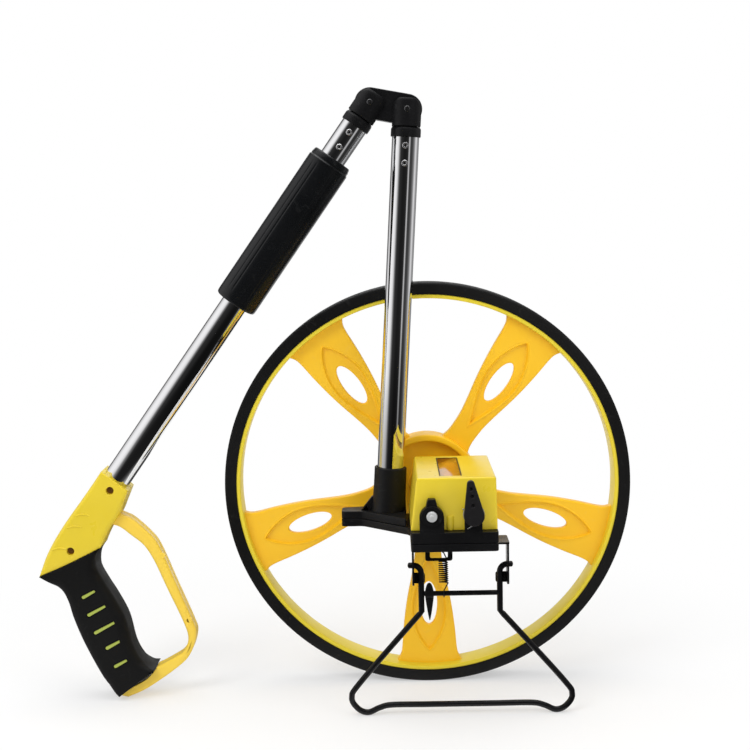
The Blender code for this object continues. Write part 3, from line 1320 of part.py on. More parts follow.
def stand_bracket():
    """Strap under the base with two ears for the stand and an anchor for the spring."""
    left = STAND_X - BRACKET_HALF - BRACKET_T
    right = STAND_X + BRACKET_HALF + BRACKET_T
    front = STAND_DEPTH + BRACKET_FRONT
    back = STAND_DEPTH - BRACKET_BACK
    inside = BRACKET_TOP - BRACKET_T / 2
    strap = block("strap", (left, -front, BRACKET_BOTTOM), (right, -back, BRACKET_TOP))
    pieces = []
    for side in (-1, 1):
        inner = STAND_X + side * BRACKET_HALF
        outer = inner + side * BRACKET_T
        x0, x1 = sorted((inner, outer))
        low = PIVOT_Z - EAR_BELOW
        ear = block("ear", (x0, -STAND_DEPTH - EAR_WIDTH / 2, low),
                    (x1, -STAND_DEPTH + EAR_WIDTH / 2, inside))
        tab_x = inner - side * TAB_LENGTH
        t0, t1 = sorted((outer, tab_x))
        tab_front = STAND_DEPTH - WIRE_R - GAP
        tab = block("tab", (t0, -tab_front, low), (t1, -tab_front + BRACKET_T, low + TAB_HEIGHT))
        pieces += [ear, tab]
    anchor_left = ANCHOR_X - ANCHOR_HALF
    anchor_right = ANCHOR_X + ANCHOR_HALF
    anchor = block("anchor", (anchor_left, -back - BRACKET_T, ANCHOR_BOTTOM), (anchor_right, -back, inside))
    body = join(strap, *pieces, anchor)
    gap = block("gap", (anchor_left + ANCHOR_LEG, -back - BRACKET_T - OVERRUN, ANCHOR_BOTTOM + ANCHOR_BAR),
                (anchor_right - ANCHOR_LEG, -back + OVERRUN, BRACKET_BOTTOM - GAP))
    holes = [gap]
    across = frame(stand_origin(), (0, 1, 0), (0, 0, 1))
    holes.append(rod("hole", WIRE_R + GAP, -LEG_TIP_HALF * 2, LEG_TIP_HALF * 2, across, SMALL_STEPS))
    for x in BRACKET_SCREW_X:
        holes.append(rod("hole", SCREW_R + GAP, BRACKET_BOTTOM - OVERRUN, BRACKET_TOP + OVERRUN,
                         Matrix.Translation((x, -STAND_DEPTH, 0)), TINY_STEPS))
    node("stand_bracket", cut(body, *holes), "wire", stand_origin())
    screws = [screw_up(x, -STAND_DEPTH, BRACKET_BOTTOM - GAP - SCREW_HEAD_T, PLATE_TOP - 2 * GAP)
              for x in BRACKET_SCREW_X]
    like_nodes("bracket_screw", screws, "steel", stand_origin())


def bail_half():
    """Points of one side of the bail as (distance from the stand's middle, height)."""
    tip = (LEG_TIP_HALF, PIVOT_Z)
    bend = LEG_HALF * 0.2
    hook = arc((LEG_HALF + bend, PIVOT_Z - bend), bend, 90, 180, 3)
    knee = (LEG_HALF, KNEE_Z)
    side = smoothed([(SHIN_HALF, SHIN_Z), (FOOT_HALF, FOOT_Z), (FOOT_HALF - 2 * WIRE_R, WIRE_R * 2.4),
                     (HEEL_HALF, WIRE_R), (HEEL_HALF - 4 * WIRE_R, WIRE_R * 2.6),
                     (RAIL_HALF, WIRE_R + RAIL_RISE)], 2)
    return [tip] + hook + [knee] + side


def stand_bail():
    half = bail_half()
    left = [(STAND_X - x, -STAND_DEPTH, z) for x, z in half]
    right = [(STAND_X + x, -STAND_DEPTH, z) for x, z in reversed(half)]
    bail = wire("stand_bail", left + right, WIRE_R, sides=2)
    node("stand_bail", bail, "wire", stand_origin(), 50)
    half_length = LEG_HALF - WIRE_R - GAP
    across = frame((STAND_X, -STAND_DEPTH, CROSSBAR_Z), (0, 1, 0), (0, 0, 1))
    bar = rod("stand_crossbar", CROSSBAR_R, -half_length, half_length, across, SMALL_STEPS)
    node("stand_crossbar", bar, "wire", stand_origin())


def pointer():
    """Flat spear that swings on the crossbar just below the axle."""
    place = facing(-POINTER_X, CROSSBAR_Z)
    half = POINTER_HALF
    right = [(0.0, POINTER_UP), (half * 0.45, POINTER_UP * 0.9), (half * 0.85, POINTER_UP * 0.45),
             (half, 0.0), (half * 0.9, -POINTER_DOWN * 0.2), (half * 0.5, -POINTER_DOWN * 0.65),
             (half * 0.12, -POINTER_DOWN)]
    outline = right + [(-x, y) for x, y in reversed(right) if x > 0]
    blade = plate("blade", [outline], STAND_DEPTH - POINTER_T / 2, STAND_DEPTH + POINTER_T / 2, place)
    across = frame((-POINTER_X, -STAND_DEPTH, CROSSBAR_Z), (0, 1, 0), (0, 0, 1))
    collar = rod("collar", half, -half * 0.9, half * 0.9, across, SMALL_STEPS)
    hole = rod("hole", CROSSBAR_R + GAP, -half - OVERRUN, half + OVERRUN, across, SMALL_STEPS)
    node("pointer", cut(join(blade, collar), hole), "black", (-POINTER_X, -STAND_DEPTH, CROSSBAR_Z))


def stand_spring():
    """Coil between the bracket's anchor and the crossbar, with a hook at each end."""
    bar_top = ANCHOR_BOTTOM + ANCHOR_BAR
    hook_r = ANCHOR_BAR / 2 + SPRING_WIRE_R + 2 * GAP
    upper = Vector((SPRING_X, -STAND_DEPTH + BRACKET_BACK - BRACKET_T / 2, bar_top - ANCHOR_BAR / 2))
    lower = Vector((SPRING_X, -STAND_DEPTH, CROSSBAR_Z))
    down = (lower - upper).normalized()
    side = Vector((1, 0, 0))
    out = side.cross(down)
    length = SPRING_TURNS * SPRING_PITCH
    middle = (upper + lower) / 2
    start = middle - down * length / 2
    per_turn = 9
    steps = SPRING_TURNS * per_turn
    coil = []
    for i in range(steps + 1):
        angle = 2 * math.pi * i / per_turn
        coil.append(start + down * length * i / steps
                    + (side * math.cos(angle) + out * math.sin(angle)) * SPRING_R)
    lower_r = CROSSBAR_R + SPRING_WIRE_R + GAP
    top_hook = []
    for i in range(HOOK_SIDES + 1):
        angle = math.radians(-60 + 270 * i / HOOK_SIDES)
        top_hook.append(upper - down * math.sin(angle) * hook_r - out * math.cos(angle) * hook_r)
    bottom_hook = []
    for i in range(HOOK_SIDES + 1):
        angle = math.radians(-40 + 250 * i / HOOK_SIDES)
        bottom_hook.append(lower + down * math.sin(angle) * lower_r + out * math.cos(angle) * lower_r)
    points = top_hook[:-1] + coil + bottom_hook
    report_least_gap("stand spring", coil, SPRING_WIRE_R, per_turn)
    node("stand_spring", wire("stand_spring", points, SPRING_WIRE_R), "steel", tuple(upper), 60)


def centre_on_floor():
    """Move all the pieces so that the origin is on the floor below the middle of their box."""
    bpy.context.view_layer.update()
    pieces = list(collection(PARTS).objects)
    corners = [piece.matrix_world @ Vector(corner) for piece in pieces for corner in piece.bound_box]
    low = Vector([min(corner[i] for corner in corners) for i in range(3)])
    high = Vector([max(corner[i] for corner in corners) for i in range(3)])
    middle = (low + high) / 2
    for piece in pieces:
        piece.location -= Vector((middle.x, middle.y, low.z))


def build():
    clear_scene()
    wheel()
    tyre()
    axle()
    bush("bush_front", BASE_FRONT, EAR_T, True)
    bush("bush_rear", BASE_REAR, EAR_T, False)
    gears()
    base_plate()
    base_frame()
    tube_socket()
    base_screws()
    counter_cover()
    counter_window()
    counter_carrier()
    counter_drums()
    reset_works()
    reset_lever()
    lever_spring()
    lower_mast()
    link()
    upper_mast()
    lock_sleeve()
    handle_shells()
    grip()
    handle_screws()
    stand_bracket()
    stand_bail()
    pointer()
    stand_spring()
    centre_on_floor()


build()
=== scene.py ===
"""Finishes and fine surfaces of a folding measuring wheel that stands on its wire stand.

Places are in millimetres from the middle of the wheel's hub: x to the right, y away from the
front, z up. A drawing frame turns the flat shapes of a piece to where they lie.
"""
import json
import math

import bmesh
import bpy
import numpy as np
from mathutils import Matrix, Vector
from mathutils.geometry import delaunay_2d_cdt


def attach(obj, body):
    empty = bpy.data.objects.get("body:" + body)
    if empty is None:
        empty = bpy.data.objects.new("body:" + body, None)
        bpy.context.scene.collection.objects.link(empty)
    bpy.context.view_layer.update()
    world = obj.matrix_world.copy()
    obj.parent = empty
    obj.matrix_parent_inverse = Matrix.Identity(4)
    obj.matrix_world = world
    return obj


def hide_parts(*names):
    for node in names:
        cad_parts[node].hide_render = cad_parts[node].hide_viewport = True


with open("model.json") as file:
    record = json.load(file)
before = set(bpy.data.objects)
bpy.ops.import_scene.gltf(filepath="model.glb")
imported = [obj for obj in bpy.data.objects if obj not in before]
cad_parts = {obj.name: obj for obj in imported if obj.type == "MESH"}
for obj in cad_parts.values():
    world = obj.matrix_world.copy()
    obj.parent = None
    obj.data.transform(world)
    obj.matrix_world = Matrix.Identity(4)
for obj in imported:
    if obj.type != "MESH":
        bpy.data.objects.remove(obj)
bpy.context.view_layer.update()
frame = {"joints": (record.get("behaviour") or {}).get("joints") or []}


# Rim and tyre
# The rim is a broad band of yellow plastic with a little draft on its inside, moulded in one
# with the spokes. A black rubber tyre, square with soft edges, is stretched over it.

HUB = np.array(next(j["pos_m"] for j in frame["joints"] if j["name"] == "wheel_spin"))
MM, WELD = 0.001, 2e-6
WHEEL_R = 500 / math.pi - 0.01
RIM_OUT, RIM_IN, RIM_HALF = 149.9, 146.75, 11.2
TYRE_IN, TYRE_HALF = 149.85, 12.0


def placing(origin, x_dir, y_dir):
    """Drawing frame: its origin, then its x and y directions, with z square to both."""
    x_axis = np.array(x_dir, float) / np.linalg.norm(x_dir)
    z_axis = np.cross(x_axis, y_dir)
    z_axis = z_axis / np.linalg.norm(z_axis)
    place = np.eye(4)
    place[:3, :4] = np.column_stack((x_axis, np.cross(z_axis, x_axis), z_axis, origin))
    return place


def facing(x=0.0, z=0.0, depth=0.0, turn=0.0):
    """Frame that faces the front: x right, y up, z towards the viewer, turned by an angle in degrees."""
    c, s = math.cos(math.radians(turn)), math.sin(math.radians(turn))
    return placing((x, -depth, z), (c, 0, s), (-s, 0, c))


def skin(points, place, round_rows=False, round_columns=False):
    """Surface over rows and columns of points: each quad joins four neighbours."""
    index = np.arange(points.shape[0] * points.shape[1]).reshape(points.shape[:2])
    if round_rows:
        index = np.vstack((index, index[:1]))
    if round_columns:
        index = np.hstack((index, index[:, :1]))
    quads = np.stack((index[:-1, :-1], index[:-1, 1:], index[1:, 1:], index[1:, :-1]), -1)
    return points.reshape(-1, 3) @ place[:3, :3].T + place[:3, 3], quads.reshape(-1, 4)


def softened(corners, reach, steps=5, ring=True):
    """Corners rounded off: each becomes a parabola between the points a reach before and after it."""
    corners = np.asarray(corners, float)
    back = np.roll(corners, 1, 0) - corners
    ahead = np.roll(corners, -1, 0) - corners
    back_length = np.linalg.norm(back, axis=1)[:, None]
    ahead_length = np.linalg.norm(ahead, axis=1)[:, None]
    reach = np.minimum(np.broadcast_to(np.asarray(reach, float).reshape(-1, 1), back_length.shape),
                       0.49 * np.minimum(back_length, ahead_length))
    start = (corners + back / back_length * reach)[:, None]
    stop = (corners + ahead / ahead_length * reach)[:, None]
    t = np.linspace(0, 1, steps)[None, :, None]
    curve = (1 - t) ** 2 * start + 2 * t * (1 - t) * corners[:, None] + t ** 2 * stop
    if ring:
        return curve.reshape(-1, 2)
    return np.vstack((corners[:1], curve[1:-1].reshape(-1, 2), corners[-1:]))


def turned(profile, place, steps=96, ring=False):
    """Turned surface: each (radius, height) of the profile goes round the frame's z."""
    profile = np.asarray(profile, float)
    angle = np.linspace(0, 2 * math.pi, steps, endpoint=False)
    radius, height = profile[:, :1], profile[:, 1:]
    points = np.stack((radius * np.cos(angle), radius * np.sin(angle), height + 0 * angle), -1)
    return skin(points, place, ring, True)


def fed(tree, node, feeds):
    """Feed a shader node's inputs by name: a socket is linked to its input, a value is set on it."""
    for name, feed in feeds.items():
        if isinstance(feed, bpy.types.NodeSocket):
            tree.links.new(feed, node.inputs[name])
        else:
            node.inputs[name].default_value = feed
    return node


def added(tree, kind, feeds, output, **settings):
    """New shader node of a kind, with its settings and feeds: gives back the named output."""
    node = tree.nodes.new("ShaderNode" + kind)
    for name, value in settings.items():
        setattr(node, name, value)
    return fed(tree, node, feeds).outputs[output]


def new_material(name):
    """Empty material and its node tree."""
    made = bpy.data.materials.new(name)
    made.use_nodes = True
    return made, made.node_tree


def finish(name, colour, tone, rough, grain, size=(14, 60, 900), metal=0.0, coat=0.0, glass=0.0,
           specular=0.5, scuff=0.12):
    """Material: colour drifts to a second tone and roughness within its limits on broad and middle
    noises, the finest noise is a bump of the grain's depth in millimetres, and where a bent noise
    passes its threshold lie scuffs, duller and a little paler than the rest."""
    made, tree = new_material(name)
    place = added(tree, "TexCoord", {}, "Object")
    broad, middle, finest, bent = (
        added(tree, "TexNoise", {"Scale": scale, "Detail": detail, "Distortion": bend, "Vector": place}, "Fac")
        for scale, detail, bend in zip((*size, size[1] * 1.7), (3, 5, 4, 6), (0, 0, 0, 1.5)))
    worn = added(tree, "MapRange", {"From Min": 0.62, "From Max": 0.72, "To Max": scuff, "Value": bent}, "Result")
    drift = added(tree, "MapRange", {"From Min": 0.35, "From Max": 0.68, "Value": broad}, "Result")
    tones = added(tree, "Mix", {"A": (*colour, 1), "B": (*tone, 1), "Factor": drift}, "Result", data_type="RGBA")
    pale = [0.75 * c + 0.1 for c in tone]
    paler = added(tree, "Mix", {"A": tones, "B": (*pale, 1), "Factor": worn}, "Result", data_type="RGBA")
    spread = added(tree, "MapRange", {"From Min": 0.3, "From Max": 0.7, "To Min": rough[0], "To Max": rough[1],
                                      "Value": middle}, "Result")
    duller = added(tree, "Math", {0: spread, 1: worn}, "Value", operation="ADD")
    bump = added(tree, "Bump", {"Distance": grain * MM, "Height": finest}, "Normal")
    fed(tree, tree.nodes["Principled BSDF"], {
        "Base Color": paler, "Roughness": duller, "Normal": bump, "Metallic": metal, "Coat Weight": coat,
        "Coat Roughness": 0.12, "Transmission Weight": glass, "Specular IOR Level": specular})
    return made


def put(name, data):
    """New object of the data, at the origin of the scene."""
    made = bpy.data.objects.new(name, data)
    bpy.context.scene.collection.objects.link(made)
    return made


def piece(name, parts, material, body, nodes=(), sharp=40):
    """Object of the parts, welded where they meet, with its faces outwards and smooth up to an angle."""
    starts = np.cumsum([0] + [len(points) for points, _ in parts])
    points = np.vstack([points for points, _ in parts]) * MM + HUB
    faces = [face for start, (_, quads) in zip(starts, parts) for face in (quads + start).tolist()]
    mesh = bpy.data.meshes.new(name)
    mesh.from_pydata(points, [], faces)
    body_mesh = bmesh.new()
    body_mesh.from_mesh(mesh)
    bmesh.ops.remove_doubles(body_mesh, verts=body_mesh.verts, dist=WELD)
    bmesh.ops.recalc_face_normals(body_mesh, faces=body_mesh.faces)
    body_mesh.to_mesh(mesh)
    body_mesh.free()
    mesh.materials.append(material)
    mesh.shade_smooth()
    mesh.set_sharp_from_angle(angle=math.radians(sharp))
    made = put(name, mesh)
    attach(made, body)
    if nodes:
        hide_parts(*nodes)


wheel_yellow = finish("wheel_yellow", (0.955, 0.535, 0.012), (0.985, 0.585, 0.02), (0.32, 0.45), 0.02,
                      specular=0.4)
# The rim gets its own darker, greener copy of the wheel's yellow: painted shade, standing in for the shade on the
# inside of the band.
rim_painted_shade = finish("rim_painted_shade", (0.78, 0.62, 0.03), (0.84, 0.67, 0.04), (0.32, 0.45), 0.02, specular=0.4)
tyre_rubber = finish("tyre_rubber", (0.006, 0.006, 0.006), (0.011, 0.011, 0.011), (0.5, 0.68), 0.06,
                     size=(9, 90, 1500), specular=0.2, scuff=0.06)

rim = softened([(RIM_IN, RIM_HALF), (RIM_OUT, RIM_HALF), (RIM_OUT, -RIM_HALF), (RIM_IN, -RIM_HALF),
                (RIM_IN - 0.7, 0)], (0.8, 0.8, 0.8, 0.8, 6))
piece("wheel_rim", [turned(rim, facing(), 256, True)], rim_painted_shade, "rolling_wheel", ["wheel"])

tyre = softened([(TYRE_IN, TYRE_HALF), (WHEEL_R - 0.25, TYRE_HALF), (WHEEL_R, 5), (WHEEL_R, 0.5),
                 (WHEEL_R - 0.35, 0.25), (WHEEL_R - 0.35, -0.25), (WHEEL_R, -0.5), (WHEEL_R, -5),
                 (WHEEL_R - 0.25, -TYRE_HALF), (TYRE_IN, -TYRE_HALF)],
                (0.4, 2.2, 2, 0.15, 0.15, 0.15, 0.15, 2, 2.2, 0.4))
piece("tyre_band", [turned(tyre, facing(), 256, True)], tyre_rubber, "rolling_wheel", ["tyre"])


# Hub and spokes
# Five flat spokes run from a dished hub to the rim. Each has a pointed leaf pressed into its
# front, with a thin raised bead round it, and an oval hole through the leaf's floor.

HUB_R, HUB_HALF, BORE = 40.0, 11.0, 4.1
SPOKE_FRONT, SPOKE_BACK = 4.5, -3.5
LEAF_FROM, LEAF_TO, LEAF_HALF, LEAF_FLOOR = 57.3, 135.6, 13.4, 2.1
OVAL_AT, OVAL_LONG, OVAL_HALF = 98.0, 17.8, 6.7
SPOKE_SIDE = [(36.9, 12.7), (43.0, 10.8), (50.1, 10.3), (62.1, 11.0), (75.6, 13.4), (89.9, 16.4),
              (104.2, 18.8), (120.2, 20.7), (133.7, 21.8), (140.1, 23.1), (144.6, 26.0)]
SPOKE_END_R = 147.9


def smoothed(points, steps=6):
    """Smooth line through the points: between two of them a cubic that keeps the slope to their neighbours."""
    points = np.asarray(points, float)
    padded = np.vstack((points[:1], points, points[-1:]))
    p0, p1, p2, p3 = (padded[i:len(padded) - 3 + i][:, None] for i in range(4))
    t = np.linspace(0, 1, steps, endpoint=False)[None, :, None]
    line = 0.5 * (2 * p1 + (p2 - p0) * t + (2 * p0 - 5 * p1 + 4 * p2 - p3) * t ** 2
                  + (3 * p1 - p0 - 3 * p2 + p3) * t ** 3)
    return np.vstack((line.reshape(-1, points.shape[1]), points[-1:]))


def outer(outline):
    """Outline run the way that keeps the material on its left."""
    outline = np.asarray(outline, float)
    x, y = outline.T
    return outline if np.sum(x * np.roll(y, -1) - y * np.roll(x, -1)) > 0 else outline[::-1]


def hole(outline):
    """Outline of a hole, run the other way round."""
    return outer(outline)[::-1]


def shifted(outline, distance):
    """Outline moved away from the material: each point goes along the mean of its two edges' normals."""
    ahead = np.roll(outline, -1, 0) - outline
    ahead = ahead / np.maximum(np.linalg.norm(ahead, axis=1)[:, None], 1e-9)
    behind = np.roll(ahead, 1, 0)
    both = np.column_stack((ahead[:, 1] + behind[:, 1], -ahead[:, 0] - behind[:, 0]))
    return outline + both * 2 / np.maximum((both ** 2).sum(1)[:, None], 1) * distance


def rising(rings, heights, place):
    """Wall through a row of like outlines, each at its height or at a height for each point."""
    rows = [np.column_stack((ring, np.broadcast_to(height, len(ring)))) for ring, height in zip(rings, heights)]
    return skin(np.stack(rows), place, False, True)


def wall(outline, steps, place):
    """Side of a moulding: the outline moved out by each step's distance, at its height."""
    return rising([shifted(outline, distance) for distance, _ in steps], [h for _, h in steps], place)


def flat(outlines, height, place):
    """Flat face between an outline and the holes in it, filled with triangles."""
    counts = np.cumsum([0] + [len(outline) for outline in outlines])
    areas = [list(range(start, stop)) for start, stop in zip(counts, counts[1:])]
    filled = delaunay_2d_cdt([Vector(point) for point in np.vstack(outlines)], [], areas, 2, 1e-5)
    points = np.column_stack((np.array([tuple(v) for v in filled[0]]), np.full(len(filled[0]), height)))
    return points @ place[:3, :3].T + place[:3, 3], np.array([tuple(face) for face in filled[2]])


def side_steps(low, high, edge, count=5):
    """Section of a plate's side: (distance, height) pairs with a quarter round at both faces."""
    t = np.linspace(0, math.pi / 2, count + 1)
    top = np.column_stack((edge * (np.sin(t) - 1), high - edge * (1 - np.cos(t))))
    low_part = np.column_stack((edge * (np.cos(t) - 1), low + edge * (1 - np.sin(t))))
    inset = edge + 0.2
    return np.vstack(([(-inset, high)], top, low_part, [(-inset, low)]))


def plate(outlines, low, high, edge, place):
    """Flat moulding: each outline gets a side with rounded edges, and both faces are filled between them."""
    steps = side_steps(low, high, edge)
    inner = [shifted(outline, steps[0, 0]) for outline in outlines]
    faces = [flat(inner, high, place), flat(inner, low, place)]
    return [wall(outline, steps, place) for outline in outlines] + faces


def circle(x, y, radius, steps=32):
    """Circle's points: the cosine and sine of evenly spaced angles, times the radius."""
    angle = np.linspace(0, 2 * math.pi, steps, endpoint=False)
    return np.column_stack((x + radius * np.cos(angle), y + radius * np.sin(angle)))


def leaf(inset, steps=40):
    """Pointed leaf about the spoke's line, drawn in all round: its width follows a skewed sine."""
    t = np.linspace(0, 1, steps)[1:-1]
    start, stop = LEAF_FROM + 2.6 * inset, LEAF_TO - inset
    half = (LEAF_HALF - inset) * np.sin(math.pi * t ** 1.25) ** 0.8
    x = start + (stop - start) * t
    side = np.column_stack((x, half))
    return outer(np.vstack(([(start, 0)], side, [(stop, 0)], side[::-1] * (1, -1))))


spoke_side = smoothed(SPOKE_SIDE, 5)
spread = math.asin(SPOKE_SIDE[-1][1] / SPOKE_END_R)
end_angle = np.linspace(spread, -spread, 12)
end = SPOKE_END_R * np.column_stack((np.cos(end_angle), np.sin(end_angle)))
spoke = outer(np.vstack((spoke_side, end, (spoke_side * (1, -1))[::-1])))
oval_angle = np.linspace(0, 2 * math.pi, 48, endpoint=False)
oval = hole(np.column_stack((OVAL_AT + OVAL_LONG * np.cos(oval_angle), OVAL_HALF * np.sin(oval_angle))))
bead = [(-2.0, 4.5), (-1.5, 4.5), (-1.2, 4.75), (-0.7, 5.0), (-0.2, 4.95), (0.3, 4.4), (0.7, 3.3),
        (1.1, 2.5), (1.6, 2.15), (2.2, 2.1)]
spoke_steps = side_steps(SPOKE_BACK, SPOKE_FRONT, 1.2)
oval_steps = side_steps(SPOKE_BACK, LEAF_FLOOR, 0.9)
spoke_parts = []
for k in range(5):
    place = facing(turn=270 + 72 * k)
    spoke_parts += [wall(spoke, spoke_steps, place), wall(oval, oval_steps, place),
                    rising([leaf(inset) for inset, _ in bead], [h for _, h in bead], place),
                    flat([shifted(spoke, spoke_steps[0, 0]), leaf(bead[0][0])[::-1]], SPOKE_FRONT, place),
                    flat([leaf(bead[-1][0]), shifted(oval, oval_steps[0, 0])], LEAF_FLOOR, place),
                    flat([shifted(spoke, spoke_steps[0, 0]), shifted(oval, oval_steps[0, 0])], SPOKE_BACK, place)]
piece("wheel_spokes", spoke_parts, wheel_yellow, "rolling_wheel")

dish = softened([(BORE, HUB_HALF), (13, HUB_HALF), (14, 1.5), (34.5, 1.5), (35, HUB_HALF), (HUB_R, HUB_HALF),
                 (HUB_R, -HUB_HALF), (35, -HUB_HALF), (34.5, -1.5), (14, -1.5), (13, -HUB_HALF),
                 (BORE, -HUB_HALF)], (0.4, 1, 2, 2, 1.4, 1.6, 1.6, 1.4, 2, 2, 1, 0.4))
# The hub gets its own deeper orange copy of the wheel's yellow: painted shade, standing in for the shade and
# inter-reflected colour in its dish.
hub_painted_shade = finish("hub_painted_shade", (1.0, 0.56, 0.008), (1.0, 0.6, 0.015), (0.32, 0.45), 0.02, specular=0.4)
piece("wheel_hub", [turned(dish, facing(), 128, True)], hub_painted_shade, "rolling_wheel")


# Axle
# A zinc plated bolt through the hub, the base's ears and the counter, with a thin washer and
# a nut behind the hub and a black flanged bush in each ear.

steel = finish("plated_steel", (0.72, 0.72, 0.73), (0.82, 0.82, 0.82), (0.34, 0.5), 0.01,
               size=(40, 300, 2500), metal=1.0)
black_plastic = finish("black_plastic", (0.005, 0.005, 0.0055), (0.009, 0.009, 0.010), (0.34, 0.5), 0.03,
                       size=(16, 110, 1800), specular=0.22, scuff=0.08)

axle = softened([(0, 118.9), (1.3, 118.9), (1.6, 118.5), (3.8, 118.3), (3.8, -20), (0, -20)],
                (0.2, 0.2, 0.2, 0.9, 0.7, 0), ring=False)
zinc = finish("bolt_zinc", (0.72, 0.74, 0.74), (0.82, 0.83, 0.83), (0.34, 0.5), 0.02,
              size=(60, 400, 2500), metal=0.5)
piece("axle_bolt", [turned(axle, facing(), 48)], zinc, "rolling_wheel", ["axle"])
washer = softened([(4.1, -11.3), (9.5, -11.3), (9.5, -12.8), (4.1, -12.8)], 0.3)
nut = softened(outer(circle(0, 0, 7.5, 6)), 0.5)
piece("axle_nut_set", [turned(washer, facing(), 64, True)]
      + plate([nut, hole(circle(0, 0, 4.1))], -18.6, -13.1, 0.5, facing()), steel, "rolling_wheel",
      ["axle_washer", "axle_nut"])
bushes = []
for face_depth, way in ((115.5, 1), (17.5, -1)):
    section = [(4.1, 1.3), (7.4, 1.3), (7.4, 0.3), (6.2, 0.3), (6.2, -6.5), (4.1, -6.5)]
    section = softened([(r, face_depth + way * h) for r, h in section], 0.3)
    bushes.append(turned(section, facing(), 48, True))
piece("axle_bushes", bushes, black_plastic, "base", ["bush_front", "bush_rear"])


# Base
# Two layers of black moulding below the counter. The upper one carries the ears of the axle
# and of the reset lever, and the lower one has the arm on which the tube's socket stands.

BASE_TOP, FRAME_LOW, PLATE_TOP, PLATE_LOW = -12.0, -20.1, -20.4, -26.0
LEFT, RIGHT, REAR, FRONT = -15.0, 47.2, -17.5, -115.5
EAR_BACK, EAR_FRONT, REAR_EAR_BACK, REAR_EAR_FRONT = 109, 115.42, 17.5, 24
EAR_R, LEVER_EAR_R, LEVER_X, LEVER_Z = 8.7, 6.2, 29.4, 1.5
SCREWS = [(-10, -30), (42.2, -30), (-10, -103.5), (42.2, -103.5)]
SOCKET_SCREWS = [(-60.3, -27.5), (-20.6, -46.6)]


def plan(x=0.0, y=0.0, z=0.0):
    """Frame seen from above, at a point: x right, y away, z up."""
    return placing((x, y, z), (1, 0, 0), (0, 1, 0))


def stretch(centre, radius, start, stop, steps=10):
    """Part of a circle between two angles in degrees."""
    angle = np.radians(np.linspace(start, stop, steps))
    return np.column_stack((centre[0] + radius * np.cos(angle), centre[1] + radius * np.sin(angle)))


arm = [(-50.5, REAR), (-66.8, -20), (-66.8, -35), (-50.5, -35)]
lower_layer = outer(softened([(RIGHT, FRONT), (RIGHT, REAR)] + arm + [(LEFT, -66), (LEFT, FRONT)],
                             (3, 3, 3, 3, 3, 3, 4, 3)))
upper_layer = outer(softened([(RIGHT, FRONT), (RIGHT, REAR), (LEFT, REAR), (LEFT, FRONT)], 3))
piece("base_lower", plate([lower_layer] + [hole(circle(x, y, 3.3)) for x, y in SCREWS + SOCKET_SCREWS],
                          PLATE_LOW, PLATE_TOP, 0.6, plan()), black_plastic, "base",
      ["base_plate"])
ear_feet = [(EAR_R, -12.6)], [(-EAR_R, -12.6)]
peak = [(3.2, 10.4), (2.4, 12), (-2.4, 12), (-3.2, 10.4)]
ear = np.vstack((ear_feet[0], stretch((0, -1.5), EAR_R, 0, 62), peak, stretch((0, -1.5), EAR_R, 118, 180),
                 ear_feet[1]))
rear_ear = np.vstack((ear_feet[0], stretch((0, -1.5), EAR_R, 0, 180, 24), ear_feet[1]))
lever_ear = np.vstack(([(LEVER_EAR_R, -14.1)], stretch((0, 0), LEVER_EAR_R, 0, 180, 20),
                       [(-LEVER_EAR_R, -14.1)]))
axle_hole, lever_hole = hole(circle(0, 0, 6.5)), hole(circle(0, 0, 2.8))
piece("base_upper", plate([upper_layer], FRAME_LOW, BASE_TOP, 0.6, plan())
      + plate([outer(ear), axle_hole], EAR_BACK, EAR_FRONT, 0.7, facing())
      + plate([outer(rear_ear), axle_hole], REAR_EAR_BACK, REAR_EAR_FRONT, 0.5, facing())
      + plate([outer(lever_ear), lever_hole], EAR_BACK, EAR_FRONT, 0.5, facing(LEVER_X, LEVER_Z)),
      black_plastic, "base", ["base_frame"])


# Tube socket
# A black moulding with a flange on the arm, a slightly flared cup for the lower tube and a
# gusset on the side away from the counter. Countersunk screws hold it and the base from below.

LEAN = 3.65
FOOT = (-30.5, -30.0, -14.2)


def leaning(origin, lean):
    """Frame of a tube: z up an axis that leans from upright towards +x, x across it."""
    c, s = math.cos(math.radians(lean)), math.sin(math.radians(lean))
    return placing(origin, (c, 0, -s), (0, 1, 0))


flange = outer(softened([(-17.6, REAR)] + arm + [(-17.6, -63.1)], (1.5, 3, 3, 3, 3, 1.5)))
cup = softened([(10.6, 33.5), (12.3, 33.5), (12.3, 18), (12.9, 4), (13.6, -1), (13.6, -3), (10.6, -3)],
               (0.5, 0.8, 8, 5, 1, 0.1, 0.1))
gusset = outer([(-23, -2), (-8, -2), (-8, 11), (-12.6, 11)])
piece("tube_socket_cup", plate([flange], -20.1, -14.2, 0.8, plan())
      + [turned(cup, leaning(FOOT, LEAN), 96, True)]
      + plate([softened(gusset, 1.0)], 28, 32, 0.6, facing(FOOT[0], FOOT[2])),
      black_plastic, "base", ["tube_socket"])
heads = []
for x, y in SCREWS + SOCKET_SCREWS:
    head = softened([(0, 1.0), (1.1, 1.0), (1.4, -0.1), (2.6, -0.1), (3, 0.3), (3, 1.8), (1.5, 1.8), (1.5, 10),
                     (0, 10)], 0.2, ring=False)
    heads.append(turned(head, plan(x, y, PLATE_LOW), 32))
piece("base_screws", heads, steel, "base", [f"base_screw_{i}" for i in (1, 2, 3, 4)]
      + ["socket_screw_1", "socket_screw_2"])


# Counter box
# A thin walled cover of glossy lemon plastic, narrower at the top, with a long window over the
# drums and a small round boss on its front.

COVER_LOW, COVER_TOP, COVER_WALL = -11.7, 26.0, 2.0


